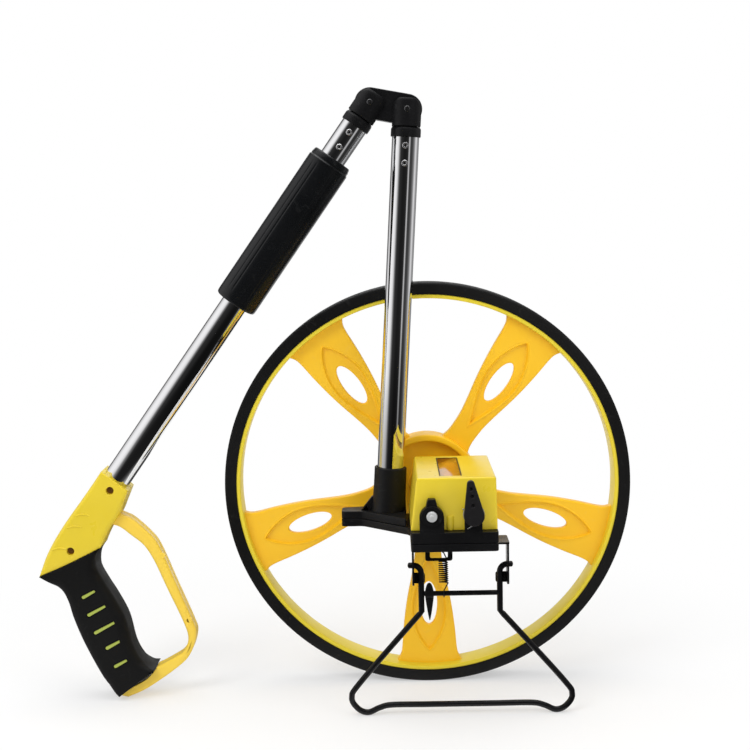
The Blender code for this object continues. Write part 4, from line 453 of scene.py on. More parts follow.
def cover_ring(height, inset):
    """Rectangle of the box at a height: its left and right sides lean in towards the top."""
    share = (height - COVER_LOW) / (COVER_TOP - COVER_LOW)
    left, right = -14.8 + 4.5 * share + inset, 47.0 - 0.8 * share - inset
    front, back = -108.5 + inset, -25.0 - inset
    radius = max(1.6 - inset, 0.4)
    return outer(softened([(right, front), (right, back), (left, back), (left, front)], radius))


lemon = finish("lemon_plastic", (0.77, 0.58, 0.022), (0.83, 0.63, 0.03), (0.26, 0.38), 0.02, coat=0.15,
               scuff=0.05)
quarter = np.linspace(0, math.pi / 2, 7)
rings = [(COVER_LOW, 0.0), (0.0, 0.0), (15.0, 0.0)]
rings += [(COVER_TOP - 1.4 * (1 - math.sin(a)), 1.4 * (1 - math.cos(a))) for a in quarter] + [(COVER_TOP, 1.7)]
inside = [(COVER_TOP - COVER_WALL, 2.4), (COVER_TOP - COVER_WALL, COVER_WALL), (0.0, COVER_WALL),
          (COVER_LOW, COVER_WALL)]
window_hole = hole(softened([(6.2, -101), (22.4, -101), (22.4, -31.5), (6.2, -31.5)], 0.9))
window_steps = [(-0.5, 26.0), (-0.3, 26.0), (-0.1, 25.9), (0, 25.7), (0, 24.2), (-0.2, 24.0), (-0.4, 24.0)]
cover = [rising([cover_ring(h, inset) for h, inset in rings], [h for h, _ in rings], plan()),
         rising([cover_ring(h, inset) for h, inset in inside], [h for h, _ in inside], plan()),
         rising([cover_ring(COVER_LOW, 0.0), cover_ring(COVER_LOW, COVER_WALL)], [COVER_LOW] * 2, plan()),
         wall(window_hole, window_steps, plan()),
         flat([cover_ring(*rings[-1]), shifted(window_hole, -0.5)], COVER_TOP, plan()),
         flat([cover_ring(*inside[0]), shifted(window_hole, -0.4)], COVER_TOP - COVER_WALL, plan())]
boss = softened([(0, -1.2), (3.3, -1.2), (3.3, COVER_LOW), (0, COVER_LOW)], (0, 0.8, 0.1, 0), ring=False)
cover.append(turned(boss, plan(13.2, -106.5), 48))
piece("counter_box", cover, lemon, "base", ["counter_cover"])

amber = finish("amber_window", (0.98, 0.55, 0.08), (1.0, 0.62, 0.11), (0.03, 0.08), 0.004, glass=0.95,
               scuff=0.05)
lens = plate([outer(softened([(6.5, -100.7), (22.1, -100.7), (22.1, -31.8), (6.5, -31.8)], 0.7))],
             24.1, 25.6, 0.3, plan())
piece("window_lens", lens, amber, "base", ["counter_window"])
frame_line = outer(softened([(6.3, -100.9), (22.3, -100.9), (22.3, -31.6), (6.3, -31.6)], 0.9))
edge_parts = plate([frame_line, shifted(frame_line, -0.75)[::-1]], 25.3, 25.8, 0.12, plan())
piece("window_edge", edge_parts, black_plastic, "base")


# Counter works
# Five white digit drums on a steel shaft between the cheeks of a bent steel plate. The digits
# are printed round each drum, black on four and red on the fastest one.

DRUM_X, DRUM_Z, DRUM_R = 14.3, 12.6, 10.0
DRUMS_FROM, DRUM_STEP, DRUM_WIDTH = 34.3, 12, 11.4
DIGITS = {
    0: [[(0.5, 1), (0.15, 0.85), (0.08, 0.5), (0.15, 0.15), (0.5, 0), (0.85, 0.15), (0.92, 0.5), (0.85, 0.85),
         (0.5, 1)]],
    1: [[(0.25, 0.8), (0.55, 1), (0.55, 0)]],
    2: [[(0.1, 0.75), (0.25, 0.97), (0.6, 1), (0.88, 0.78), (0.7, 0.45), (0.1, 0)], [(0.1, 0.0), (0.92, 0.0)]],
    3: [[(0.1, 0.85), (0.5, 1), (0.85, 0.78), (0.45, 0.53), (0.9, 0.27), (0.5, 0), (0.08, 0.15)]],
    4: [[(0.68, 0), (0.68, 1)], [(0.68, 1), (0.05, 0.3)], [(0.05, 0.3), (0.95, 0.3)]],
    5: [[(0.85, 1), (0.2, 1)], [(0.2, 1), (0.15, 0.57)], [(0.15, 0.57), (0.55, 0.63), (0.9, 0.32), (0.5, 0),
                                                          (0.08, 0.12)]],
    6: [[(0.8, 0.9), (0.45, 0.98), (0.12, 0.6), (0.15, 0.2), (0.5, 0), (0.88, 0.3), (0.5, 0.58), (0.14, 0.36)]],
    7: [[(0.08, 1), (0.92, 1)], [(0.92, 1), (0.35, 0)]],
    8: [[(0.5, 0.53), (0.15, 0.78), (0.5, 1), (0.85, 0.78), (0.5, 0.53), (0.1, 0.25), (0.5, 0), (0.9, 0.25),
         (0.5, 0.53)]],
    9: [[(0.86, 0.64), (0.5, 0.42), (0.12, 0.7), (0.5, 1), (0.85, 0.8), (0.88, 0.4), (0.55, 0.02), (0.2, 0.1)]],
}
nylon = finish("white_nylon", (0.74, 0.73, 0.69), (0.8, 0.79, 0.75), (0.4, 0.5), 0.02, size=(30, 200, 2000))
ink = finish("black_ink", (0.012, 0.012, 0.012), (0.03, 0.03, 0.03), (0.5, 0.6), 0.01, size=(60, 300, 2500))
red_ink = finish("red_ink", (0.55, 0.02, 0.015), (0.6, 0.03, 0.02), (0.5, 0.6), 0.01, size=(60, 300, 2500))


def digit_ribbon(stroke, angle, across, height=4.6, width=3.2, line=0.62):
    """Ribbon along a stroke, laid on the drum: its length runs round the drum, its width along the axle."""
    path = smoothed(stroke, 8) if len(stroke) > 2 else np.linspace(stroke[0], stroke[1], 8)
    path = (path - (0.5, 0.5)) * (width, height)
    ahead = np.gradient(path, axis=0)
    normal = np.column_stack((-ahead[:, 1], ahead[:, 0]))
    normal = normal / np.linalg.norm(normal, axis=1)[:, None]
    ends = ahead[[0, -1]] / np.linalg.norm(ahead[[0, -1]], axis=1)[:, None]
    path[0] -= ends[0] * line / 2
    path[-1] += ends[1] * line / 2
    shares = np.linspace(-0.5, 0.5, 3)[None, :, None]
    points = path[:, None] + normal[:, None] * shares * line
    turn = angle + points[..., 1] / DRUM_R
    radius = DRUM_R + 0.03
    return skin(np.stack((radius * np.sin(turn), radius * np.cos(turn), across + points[..., 0]), -1),
                facing(DRUM_X, DRUM_Z))


for i in range(5):
    low = DRUMS_FROM + DRUM_STEP * i
    high = low + DRUM_WIDTH
    rim_line = softened([(2.3, low), (8.6, low), (DRUM_R, low + 0.5), (DRUM_R, high - 0.5), (8.6, high),
                         (2.3, high)], 0.4)
    piece(f"drum_{i + 1}", [turned(rim_line, facing(DRUM_X, DRUM_Z), 96, True)], nylon, f"drum_{i + 1}",
          [f"digit_drum_{i + 1}"])
    ribbons = [digit_ribbon(stroke, math.radians(36 * number), low + DRUM_WIDTH / 2)
               for number, strokes in DIGITS.items() for stroke in strokes]
    piece(f"drum_digits_{i + 1}", ribbons, red_ink if i == 4 else ink, f"drum_{i + 1}")
cheek = outer(softened([(2.2, COVER_LOW), (26.4, COVER_LOW), (26.4, 14), (20, 20), (8.6, 20), (2.2, 14)], 1.5))
works = []
for back, front in ((30.9, 32.4), (100.6, 102.1)):
    works += plate([cheek, hole(circle(DRUM_X, DRUM_Z, 2.2))], back, front, 0.3, facing())
works.append(turned(softened([(0, 30.2), (2, 30.2), (2, 102.8), (0, 102.8)], (0, 0.4, 0.4, 0), ring=False),
                    facing(DRUM_X, DRUM_Z), 32))
piece("counter_works", works, steel, "base", ["counter_carrier", "drum_shaft"])


# Drive gears
# Two small white nylon gears of equal size behind the front ear: one on the axle and one on
# the last drum's shaft, so one turn of the wheel moves the fastest drum once round.

def gear_outline(teeth=24, pitch=9.53, up=0.65, down=0.95):
    """Gear's outline: the radius follows a clipped sine of the angle, a flat for each tip and root."""
    angle = np.linspace(0, 2 * math.pi, teeth * 16, endpoint=False)
    share = np.clip(1.6 * np.sin(teeth * angle), -1, 1)
    radius = pitch + np.where(share > 0, up, down) * share
    return outer(np.column_stack((radius * np.cos(angle), radius * np.sin(angle))))


GEAR_BACK, GEAR_FRONT, GEAR_EDGE = 95, 99, 0.3
axle_gear = plate([gear_outline(), hole(circle(0, 0, 3.9))], GEAR_BACK, GEAR_FRONT, GEAR_EDGE, facing())
drum_gear = plate([gear_outline(), hole(circle(0, 0, 2.3))], GEAR_BACK, GEAR_FRONT, GEAR_EDGE,
                  facing(DRUM_X, DRUM_Z))
piece("axle_gear_teeth", axle_gear, nylon, "rolling_wheel", ["drive_gear"])
piece("drum_gear_teeth", drum_gear, nylon, "drum_5", ["drum_gear"])


# Reset lever
# A black lever on a steel shaft that runs through the counter: pressed aside it sets the drums
# back to zero. Three dimples are pressed into its arm, and a wire spring returns it.

LEVER_TILT, LEVER_LENGTH = 5.5, 25.5
LEVER_BACK, LEVER_FRONT = 120.7, 124.3


def stadium(low_r, high_r, length, steps=24):
    """Outline round two circles of different size, the second one a length above the first."""
    angle = math.asin((low_r - high_r) / length)
    start, stop = math.pi - angle, 2 * math.pi + angle
    low = np.linspace(start, stop, steps)
    high = np.linspace(angle, math.pi - angle, steps)
    return outer(np.vstack((np.column_stack((low_r * np.cos(low), low_r * np.sin(low))),
                            np.column_stack((high_r * np.cos(high), length + high_r * np.sin(high))))))


def refinish(node, material):
    """Give a node that keeps its own shape another material."""
    for slot in bpy.data.objects[node].material_slots:
        slot.material = material


refinish("reset_comb", nylon)
lever_place = facing(LEVER_X, LEVER_Z, turn=LEVER_TILT)
lever_outline = stadium(7.3, 2.7, LEVER_LENGTH - 2.7)
lever_steps = side_steps(LEVER_BACK, LEVER_FRONT, 0.8)
DIMPLE_R, DIMPLES_AT = 1.6, (19.5, 14.2, 7.6)
bowl = softened([(0, -1.7), (0.9, -1.6), (1.3, -0.3), (DIMPLE_R, 0)], 0.3, ring=False) + (0, LEVER_FRONT)
dimples = [turned(bowl, lever_place @ plan(0, at), 32) for at in DIMPLES_AT]
dimple_rims = [hole(circle(0, at, DIMPLE_R)) for at in DIMPLES_AT]
lever = [wall(lever_outline, lever_steps, lever_place),
         flat([shifted(lever_outline, lever_steps[0, 0])] + dimple_rims, LEVER_FRONT, lever_place),
         flat([shifted(lever_outline, lever_steps[0, 0])], LEVER_BACK, lever_place)] + dimples
hub_line = softened([(2.8, 115.8), (5.4, 115.8), (5.4, 121), (2.8, 121)], 0.5)
lever.append(turned(hub_line, facing(LEVER_X, LEVER_Z), 48, True))
lever_black = finish("lever_black", (0.011, 0.010, 0.011), (0.017, 0.016, 0.017), (0.36, 0.5), 0.04,
                     size=(16, 110, 1800), specular=0.4, scuff=0.08)
piece("lever_arm", lever, lever_black, "reset", ["reset_lever"])
shaft_line = softened([(0, 30.2), (2.5, 30.2), (2.5, 123.1), (0, 123.1)], (0, 0.4, 0.4, 0), ring=False)
piece("lever_shaft", [turned(shaft_line, facing(LEVER_X, LEVER_Z), 32)], steel, "reset", ["reset_shaft"])


def carried(path, section, place, closed_path=False):
    """Section carried along a path: at each point it stands square to the path in a frame that turns
    with the path and never twists about it."""
    path = np.asarray(path, float)
    ahead = np.gradient(path, axis=0)
    ahead = ahead / np.linalg.norm(ahead, axis=1)[:, None]
    side = np.empty_like(path)
    side[0] = np.cross(ahead[0], (0, 0, 1)) if abs(ahead[0][2]) < 0.9 else np.cross(ahead[0], (0, 1, 0))
    for i in range(len(path)):
        last = side[max(i - 1, 0)]
        last = last - ahead[i] * last.dot(ahead[i])
        side[i] = last / np.linalg.norm(last)
    up = np.cross(ahead, side)
    section = np.asarray(section, float)
    points = path[:, None] + side[:, None] * section[None, :, :1] + up[:, None] * section[None, :, 1:]
    return skin(points, place, closed_path, True)


def wire(path, radius, place, steps=14):
    """Round wire along a path, with half round ends."""
    path = np.asarray(path, float)
    angle = np.linspace(0, math.pi / 2, 4)[:-1]
    first = path[0] - path[1]
    first = first / np.linalg.norm(first)
    last = path[-1] - path[-2]
    last = last / np.linalg.norm(last)
    start = path[0] + first * radius * np.cos(angle)[:, None] * 0.6
    stop = path[-1] + last * radius * np.cos(angle[::-1])[:, None] * 0.6
    sizes = np.concatenate((np.sin(angle), np.ones(len(path)), np.sin(angle[::-1])))
    sizes = np.maximum(sizes, 0.02)
    whole = np.vstack((start, path, stop))
    body = carried(whole, circle(0, 0, radius, steps), np.eye(4))
    points = body[0].reshape(len(whole), steps, 3)
    points = whole[:, None] + (points - whole[:, None]) * sizes[:, None, None]
    return skin(points, place, False, True)


black_wire = finish("black_wire", (0.004, 0.004, 0.0045), (0.007, 0.007, 0.008), (0.24, 0.38), 0.01,
                    size=(30, 200, 2500), coat=0.08, specular=0.22, scuff=0.05)
turns = np.radians(np.linspace(-60, 870, 160))
COIL_R, COIL_BACK, COIL_PITCH = 7.2, 116.25, 1.4
coil = np.column_stack((COIL_R * np.cos(turns), COIL_R * np.sin(turns),
                        COIL_BACK + COIL_PITCH * (turns - turns[0]) / (2 * math.pi)))
first_leg = coil[0] + np.outer(np.linspace(9, 0.5, 8), (math.sin(turns[0]), -math.cos(turns[0]), 0))
last_leg = coil[-1] + np.outer(np.linspace(0.5, 1.8, 3), (math.cos(turns[-1]), math.sin(turns[-1]), 0))
spring_parts = [wire(np.vstack((first_leg, coil, last_leg)), 0.45, facing(LEVER_X, LEVER_Z))]
piece("lever_spring_wire", spring_parts, steel, "base", ["lever_spring"])


# Folding tubes
# Two chrome plated steel tubes joined by a folding link. Black forks are pressed on the tubes'
# ends and held by rivets, and the link turns on a steel pin in each fork.

LOW_PIN = np.array([-11.21, -30.0, 288.185])
HIGH_PIN = np.array([-38.60, -30.0, 293.505])
HIGH_LEAN, LINK_LEAN = 35.66, math.radians(11)
TUBE_R, TUBE_BORE, TUBE_DROP = 10.3, 9.3, 14.9
chrome = finish("chrome_tube", (0.86, 0.87, 0.88), (0.90, 0.91, 0.92), (0.04, 0.08), 0.0005,
                size=(20, 150, 2500), metal=1.0, scuff=0.03)


def tube(low, high, place):
    """Round tube: the rectangle of its wall, with softened corners, goes round the axis."""
    line = softened([(TUBE_BORE, high), (TUBE_R, high), (TUBE_R, low), (TUBE_BORE, low)], 0.3)
    return turned(line, place, 128, True)


low_axis, high_axis = leaning(LOW_PIN, LEAN), leaning(HIGH_PIN, HIGH_LEAN)
foot_drop = (LOW_PIN[2] - FOOT[2]) / math.cos(math.radians(LEAN))
piece("tube_lower", [tube(3.3 - foot_drop, -TUBE_DROP, low_axis)], chrome, "base", ["lower_tube"])
piece("tube_upper", [tube(-401, -TUBE_DROP, high_axis)], chrome, "handle", ["upper_tube"])


def fork(place):
    """Fork at a tube's end. Each cheek's outside lies on a cylinder, y = sqrt(R^2 - x^2), and its top
    falls off with the square of x beyond the flat; below is a skirt with a rounded shoulder."""
    rim, inner, half, low = 12.25, 6.0, 10.65, -12.2
    across, rise = np.meshgrid(np.linspace(-half, half, 49), np.linspace(0, 1, 21))
    top = 8.2 - 5.5 * np.clip((np.abs(across) - 5.1) / 5.5, 0, 1) ** 2
    height = low + (top - low) * rise
    bulge = np.sqrt(rim ** 2 - across ** 2)
    eased = 0.9 * np.clip((rise - 0.9) / 0.1, 0, 1) ** 2
    parts = []
    for way in (1, -1):
        inside = np.stack((across, way * inner + 0 * across, height), -1)
        outside = np.stack((across, way * np.maximum(bulge - eased, inner + 0.02), height), -1)
        parts.append(skin(np.concatenate((inside, outside[:, ::-1]), 1), place, False, True))
        parts.append(skin(np.stack((inside[-1], outside[-1])), place))
    skirt = softened([(0, low), (10.7, low), (rim, low - 1.8), (rim, -20.1), (10.6, -20.1), (10.6, -15.2),
                      (0, -15.2)], (0, 1.0, 1.2, 0.8, 0.2, 0.1, 0), ring=False)
    return parts + [turned(skirt, place @ np.diag((0.915, 1, 1, 1)), 96)]


piece("fork_lower", fork(low_axis), black_plastic, "base", ["lower_fork"], sharp=30)
piece("fork_upper", fork(high_axis), black_plastic, "handle", ["upper_fork"], sharp=30)
link_place = placing(LOW_PIN, (math.sin(LINK_LEAN), 0, math.cos(LINK_LEAN)),
                     (-math.cos(LINK_LEAN), 0, math.sin(LINK_LEAN)))
link_outline = stadium(11.3, 11.299, 27.9)
piece("link_plate", plate([link_outline], -5.7, 5.7, 0.9, link_place), black_plastic, "fold_link",
      ["link"])
dull_steel = finish("dull_steel", (0.16, 0.16, 0.165), (0.24, 0.24, 0.24), (0.3, 0.45), 0.01,
                    size=(40, 300, 2500), metal=1.0)
pin = softened([(0, 12.45), (1.6, 12.55), (2.2, 12.2), (2.2, -12.2), (1.6, -12.55), (0, -12.45)],
               (0, 0.3, 0.3, 0.3, 0.3, 0), ring=False)
low_pin, high_pin = (turned(pin, placing(centre, (1, 0, 0), (0, 0, 1)), 32) for centre in (LOW_PIN, HIGH_PIN))
piece("link_pin_lower", [low_pin], dull_steel, "base", ["lower_pin"])
piece("link_pin_upper", [high_pin], dull_steel, "handle", ["upper_pin"])


def rivets(axis, drops):
    """Tubular rivets on the tube's front: a rolled ring with a sunk centre."""
    line = softened([(0, 9.6), (0.9, 9.6), (1.1, 11.1), (1.9, 11.3), (2.4, 10.9), (2.4, 9.4), (0, 9.4)],
                    (0, 0.2, 0.4, 0.4, 0.2, 0.1, 0), ring=False)
    return [turned(line, axis @ facing(0, -drop), 32) for drop in drops]


RIVET_DROPS = (26.5, 39.5)
piece("rivets_lower", rivets(low_axis, RIVET_DROPS), steel, "base", ["lower_rivet_1", "lower_rivet_2"])
piece("rivets_upper", rivets(high_axis, RIVET_DROPS), steel, "handle", ["upper_rivet_1", "upper_rivet_2"])


# Sliding sleeve
# A black plastic sleeve that slides over the folded joint and locks it. It is thicker over its
# lower part, narrows in a step below its rounded lip and has long grooves down its front.

SLEEVE_TOP, SLEEVE_END, SLEEVE_R, SLEEVE_BORE = -48.7, -180.1, 16.5, 12.55
GROOVES = [(-128, 3.2, 0.32), (-114, 3.2, 0.32), (-62, 4.0, 0.2), (52, 3.2, 0.32), (66, 3.2, 0.32)]
sleeve_black = finish("sleeve_black", (0.003, 0.0035, 0.004), (0.006, 0.0065, 0.0075), (0.22, 0.34), 0.012,
                      size=(14, 90, 1800), coat=0.08, specular=0.25, scuff=0.04)


def grooved(profile, place, steps=288):
    """Turned surface whose radius loses depth * cos^2 across each groove (angle, half width, depth);
    the grooves fade out towards the lip and the end."""
    angle = np.linspace(-180, 180, steps, endpoint=False)
    radius, height = profile[:, :1], profile[:, 1:]
    fade = np.clip((SLEEVE_TOP - 9 - height) / 3, 0, 1) * np.clip((height - SLEEVE_END - 9) / 3, 0, 1)
    fade = fade * (radius > SLEEVE_R - 0.5)
    cut = sum(depth * np.cos(np.clip((angle - at) / half, -1, 1) * math.pi / 2) ** 2
              for at, half, depth in GROOVES)
    radius = radius - fade * cut
    turn = np.radians(angle)
    return skin(np.stack((radius * np.cos(turn), radius * np.sin(turn), height + 0 * angle), -1), place, True, True)


sleeve_line = softened([(SLEEVE_BORE, SLEEVE_TOP), (SLEEVE_R - 1.5, SLEEVE_TOP), (SLEEVE_R - 0.6, SLEEVE_TOP - 4.2),
                        (SLEEVE_R - 0.9, SLEEVE_TOP - 5.0), (SLEEVE_R, SLEEVE_TOP - 6.2)],
                       (0.6, 1.3, 0.5, 0.4, 0.5), ring=False)
barrel = np.column_stack((np.full(60, SLEEVE_R), np.linspace(SLEEVE_TOP - 7, SLEEVE_END + 5, 60)))
sleeve_tail = softened([(SLEEVE_R, SLEEVE_END + 4.5), (SLEEVE_R - 0.15, SLEEVE_END), (10.6, SLEEVE_END),
                        (10.6, SLEEVE_END + 12), (SLEEVE_BORE, SLEEVE_END + 12)],
                       (0.5, 2.8, 0.6, 0.6, 0.6), ring=False)
piece("sleeve_barrel", [grooved(np.vstack((sleeve_line, barrel, sleeve_tail)), high_axis)], sleeve_black, "sleeve",
      ["lock_sleeve"], sharp=30)


# Handle
# A lemon plastic body clamped on the upper tube with a loop that guards the hand, a black
# rubber grip with five raised bars, and four sunk screws.

HANDLE_SPAN = 200.0
HANDLE_FROM = np.array((-238.557, -30.0, 14.825))
BODY_LEFT = [(0, -.062), (.118, -.063), (.245, -.066), (.335, -.063), (.41, -.053), (.4775, -.0332)]
BODY_GRIP = [(.4775, -.0332), (.377, .029), (.25, .098)]
BODY_RIGHT = [(.25, .098), (.229, .094), (.168, .086), (.109, .086), (.05, .074), (0, .062)]
GUARD_OUT = [(.109, .070), (.101, .105), (.097, .140), (.108, .220), (.131, .284), (.219, .421), (.302, .550),
             (.339, .592), (.410, .615), (.479, .609), (.623, .558), (.702, .5125)]
HEEL = [(.702, .5125), (.706, .484), (.661, .502), (.596, .532), (.537, .538)]
GUARD_IN = [(.537, .538), (.470, .571), (.423, .588), (.373, .576), (.330, .528), (.247, .392), (.188, .297),
            (.159, .230), (.153, .165), (.151, .110), (.168, .070)]
GRIP_LEFT = [(.4790, -.0330), (.4815, .008), (.4815, .064), (.507, .112), (.550, .164), (.608, .250), (.676, .374),
             (.700, .441), (.706, .482)]
GRIP_RIGHT = [(.537, .536), (.546, .509), (.536, .461), (.506, .409), (.438, .333), (.394, .255), (.363, .187),
              (.333, .132), (.291, .101), (.250, .098)]
handle_place = placing(HANDLE_FROM, (-0.58297, 0, -0.81249), (0.81249, 0, -0.58297))


def shares(points, steps=6):
    """Smooth line through points that are given as shares of the handle's span."""
    return smoothed(np.array(points) * HANDLE_SPAN, steps)


def apart(points, line):
    """Distance of each point from the nearest point of a line drawn finely."""
    return np.sqrt(((points[:, None] - line[None]) ** 2).sum(-1).min(1))


def pillow(outline, half, soft, place, sinks=(), seam=0.0, rings=8):
    """Moulding with round sides: at angle t of the quarter round the outline moves in by
    soft * (1 - cos t) while the height is half - soft * (1 - sin t), with soft given for each point.
    Every sink (outline of a hole, depth) is a flat bottomed recess in the front face."""
    soft = np.broadcast_to(soft, len(outline))
    t = np.linspace(0, math.pi / 2, rings)
    moves = [(soft * (math.cos(a) - 1), half - soft * (1 - math.sin(a))) for a in t]
    moves.append((-soft - 0.3, half))
    groove = [(0, 0.7), (-seam, 0.35), (-seam, -0.35), (0, -0.7)] if seam else []
    moves = moves[::-1] + groove + [(move, -height) for move, height in moves]
    rings = [shifted(outline, np.reshape(move, (-1, 1))) for move, _ in moves]
    parts = [rising(rings, [height for _, height in moves], place),
             flat([rings[0]] + [line for line, _ in sinks], half, place), flat([rings[-1]], -half, place)]
    for line, depth in sinks:
        parts.append(rising([line, shifted(line, -0.3), shifted(line, -0.3)],
                            [half, half - 0.3, half - depth], place))
        parts.append(flat([shifted(line, -0.3)[::-1]], half - depth, place))
    return parts


grip_line = shares(BODY_GRIP, 20)
collar_line = np.array([(0.0, b) for b in np.linspace(-.062, .062, 20)]) * HANDLE_SPAN
heel_line = np.array([(.706, .484), (.661, .502), (.596, .532), (.537, .538)]) * HANDLE_SPAN
heel_line = smoothed(heel_line, 12)
body_outline = outer(np.vstack((shares(BODY_LEFT)[:-1], shares(BODY_GRIP)[:-1], shares(BODY_RIGHT)[:-1])))
from_grip, from_collar = apart(body_outline, grip_line), apart(body_outline, collar_line)
body_soft = np.clip(0.35 + 0.45 * np.minimum(from_grip, 1.6 + 0.5 * from_collar), 0.5, 3.6)
big_sinks = [(hole(circle(a * HANDLE_SPAN, b * HANDLE_SPAN, 3.0, 32)), 2.7)
             for a, b in ((.042, .006), (.326, .011))]
ridges = []
for a in (.20, .255, .36):
    path = smoothed([(a, -.047, 0.0648), (a - .016, -.036, 0.0652), (a - .026, -.02, 0.0648),
                     (a - .03, -.006, 0.0638)], 8)
    ridges.append(wire(path * HANDLE_SPAN, 0.8, np.eye(4)))
ridges = [(points @ handle_place[:3, :3].T + handle_place[:3, 3], quads) for points, quads in ridges]
piece("handle_shell", ridges + pillow(body_outline, 13.2, body_soft, handle_place, big_sinks, 0.5), lemon, "handle",
      ["handle_front"], sharp=35)
guard_outline = outer(np.vstack((shares(GUARD_OUT)[:-1], shares(HEEL)[:-1], shares(GUARD_IN)[:-1])))
guard_soft = np.clip(0.5 + 0.5 * apart(guard_outline, heel_line), 0.5, 2.6)
small_sinks = [(hole(circle(a * HANDLE_SPAN, b * HANDLE_SPAN, 2.0, 24)), 1.6)
               for a, b in ((.150, .310), (.305, .537))]
guard_yellow = finish("guard_yellow", (0.93, 0.63, 0.06), (0.96, 0.68, 0.07), (0.28, 0.4), 0.02, coat=0.1,
                      scuff=0.05)
piece("handle_loop", pillow(guard_outline, 7.4, guard_soft, handle_place, small_sinks, 0.15), guard_yellow,
      "handle", ["handle_back"], sharp=35)
grip_outline = outer(np.vstack((shares(GRIP_LEFT), shares(GRIP_RIGHT)[:-1], shares(BODY_GRIP)[::-1][:-1])))
from_body, from_heel = apart(grip_outline, grip_line), apart(grip_outline, heel_line)
grip_soft = np.clip(0.4 + 0.55 * np.minimum(from_body, from_heel + 1), 0.5, 7.5)
grip_rubber = finish("grip_rubber", (0.0045, 0.0045, 0.0045), (0.008, 0.008, 0.008), (0.5, 0.66), 0.05,
                     size=(14, 110, 1600), specular=0.2, scuff=0.04)
# The bars are yellow plastic; their dark olive green is painted shade, standing in for the shade in the rubber's
# slots.
rib_painted_shade = finish("rib_painted_shade", (0.34, 0.41, 0.06), (0.41, 0.48, 0.08), (0.35, 0.5), 0.02)
slots, bars = [], []
for (a, b), length in zip([(.428, .161), (.464, .222), (.502, .285), (.540, .349), (.588, .413)],
                          (11.7, 16.4, 19.5, 14.0, 11.7)):
    along = np.array((-.896, .444))
    across = np.array((-along[1], along[0]))
    line = stadium(1.35, 1.0, length - 2.4) - (0, (length - 2.4) / 2)
    line = outer(np.array((a, b)) * HANDLE_SPAN + line[:, :1] * across + line[:, 1:] * along)
    slots.append((shifted(line, 0.45)[::-1], 1.4))
    bars += plate([line], 12.6, 14.45, 0.5, handle_place)
piece("handle_rubber", pillow(grip_outline, 14.6, grip_soft, handle_place, slots), grip_rubber, "handle", ["grip"],
      sharp=35)
piece("grip_bars", bars, rib_painted_shade, "handle")
# The sunk screw heads are steel, given a dark brown: painted shade, standing in for the shade and orange
# inter-reflection at the bottom of their recesses.
screw_painted_shade = finish("screw_painted_shade", (0.20, 0.09, 0.02), (0.26, 0.12, 0.03), (0.35, 0.5), 0.01, metal=0.6)
heads = []
for (a, b), radius, level in (((.042, .006), 2.6, 11.3), ((.326, .011), 2.6, 11.3), ((.150, .310), 1.2, 6.7),
                              ((.305, .537), 1.2, 6.7)):
    line = softened([(0, level - 0.4), (radius * 0.3, level - 0.4), (radius * 0.42, level), (radius, level - 0.2),
                     (radius, level - 0.7), (0, level - 0.7)], (0, 0.1, 0.1, 0.2, 0.1, 0), ring=False)
    heads.append(turned(line, handle_place @ plan(a * HANDLE_SPAN, b * HANDLE_SPAN), 32))
piece("handle_screw_heads", heads, screw_painted_shade, "handle", [f"handle_screw_{i}" for i in (1, 2, 3, 4)])


# Stand
# A black wire bail that swings down from a bent steel bracket under the base, with a crossbar
# and a return spring, and a small pointer that hangs beside it.

STAND_X, STAND_Z, STAND_DEPTH = 21.4, -45.0, 80.0
half_bail = np.vstack(([(37.5, 114.155 - 159.155)],
                       stretch((34.74, 108.365 - 159.155), 5.79, 90, 180, 12)[1:],
                       [(28.95, 79 - 159.155)],
                       smoothed([(28.95, 79), (74.5, 26.5), (82, 14), (77.6, 5.28), (70, 2.2), (61.2, 5.72),
                                 (52, 7.7), (26, 7.7), (0, 7.7)], 14)[1:] - (0, 159.155)))
bail = np.vstack((half_bail, (half_bail * (-1, 1))[::-1][1:]))
bail_path = np.column_stack((bail, np.full(len(bail), 0)))
crossbar = np.column_stack((np.linspace(-26.45, 26.45, 9), np.full(9, -66.5), np.zeros(9)))
piece("stand_wire", [wire(bail_path, 2.2, facing(STAND_X, 0, STAND_DEPTH)),
                     wire(crossbar, 1.9, facing(STAND_X, 0, STAND_DEPTH))], black_wire, "stand",
      ["stand_bail", "stand_crossbar"], sharp=60)


def box_line(x_low, x_high, y_low, y_high, reach):
    """Rectangle with its corners rounded off."""
    return outer(softened([(x_high, y_low), (x_high, y_high), (x_low, y_high), (x_low, y_low)], reach))


STRAP_TOP, STRAP_LOW, EAR_LOW = -26.3, -27.8, -59.5
BRACKET_SCREWS = [(-4.0, -STAND_DEPTH), (47.0, -STAND_DEPTH)]
strap_holes = [hole(circle(x, y, 2.4)) for x, y in BRACKET_SCREWS]
bracket = plate([box_line(STAND_X - 35.5, STAND_X + 35.5, -90, -68, 1.5)] + strap_holes,
                STRAP_LOW, STRAP_TOP, 0.3, plan())
for way in (-1, 1):
    ear_place = placing((STAND_X + way * 34.75, 0, 0), (0, 1, 0), (0, 0, 1))
    side_line = outer(softened([(-74, EAR_LOW), (-74, STRAP_TOP - 0.6), (-86, STRAP_TOP - 0.6), (-86, EAR_LOW)],
                               (3.5, 0.3, 0.3, 3.5)))
    bracket += plate([side_line, hole(circle(-STAND_DEPTH, STAND_Z, 2.5))], -0.75, 0.75, 0.3, ear_place)
    tab_inner = way * 26.0
    low_x, high_x = sorted((STAND_X + way * 35.4, STAND_X + tab_inner))
    bracket += plate([box_line(low_x, high_x, EAR_LOW, EAR_LOW + 8, 1.8)], 76, 77.5, 0.3, facing())
opening = hole(softened([(0.4, -35.8), (12.0, -35.8), (12.0, -28.6), (0.4, -28.6)], 1.2))
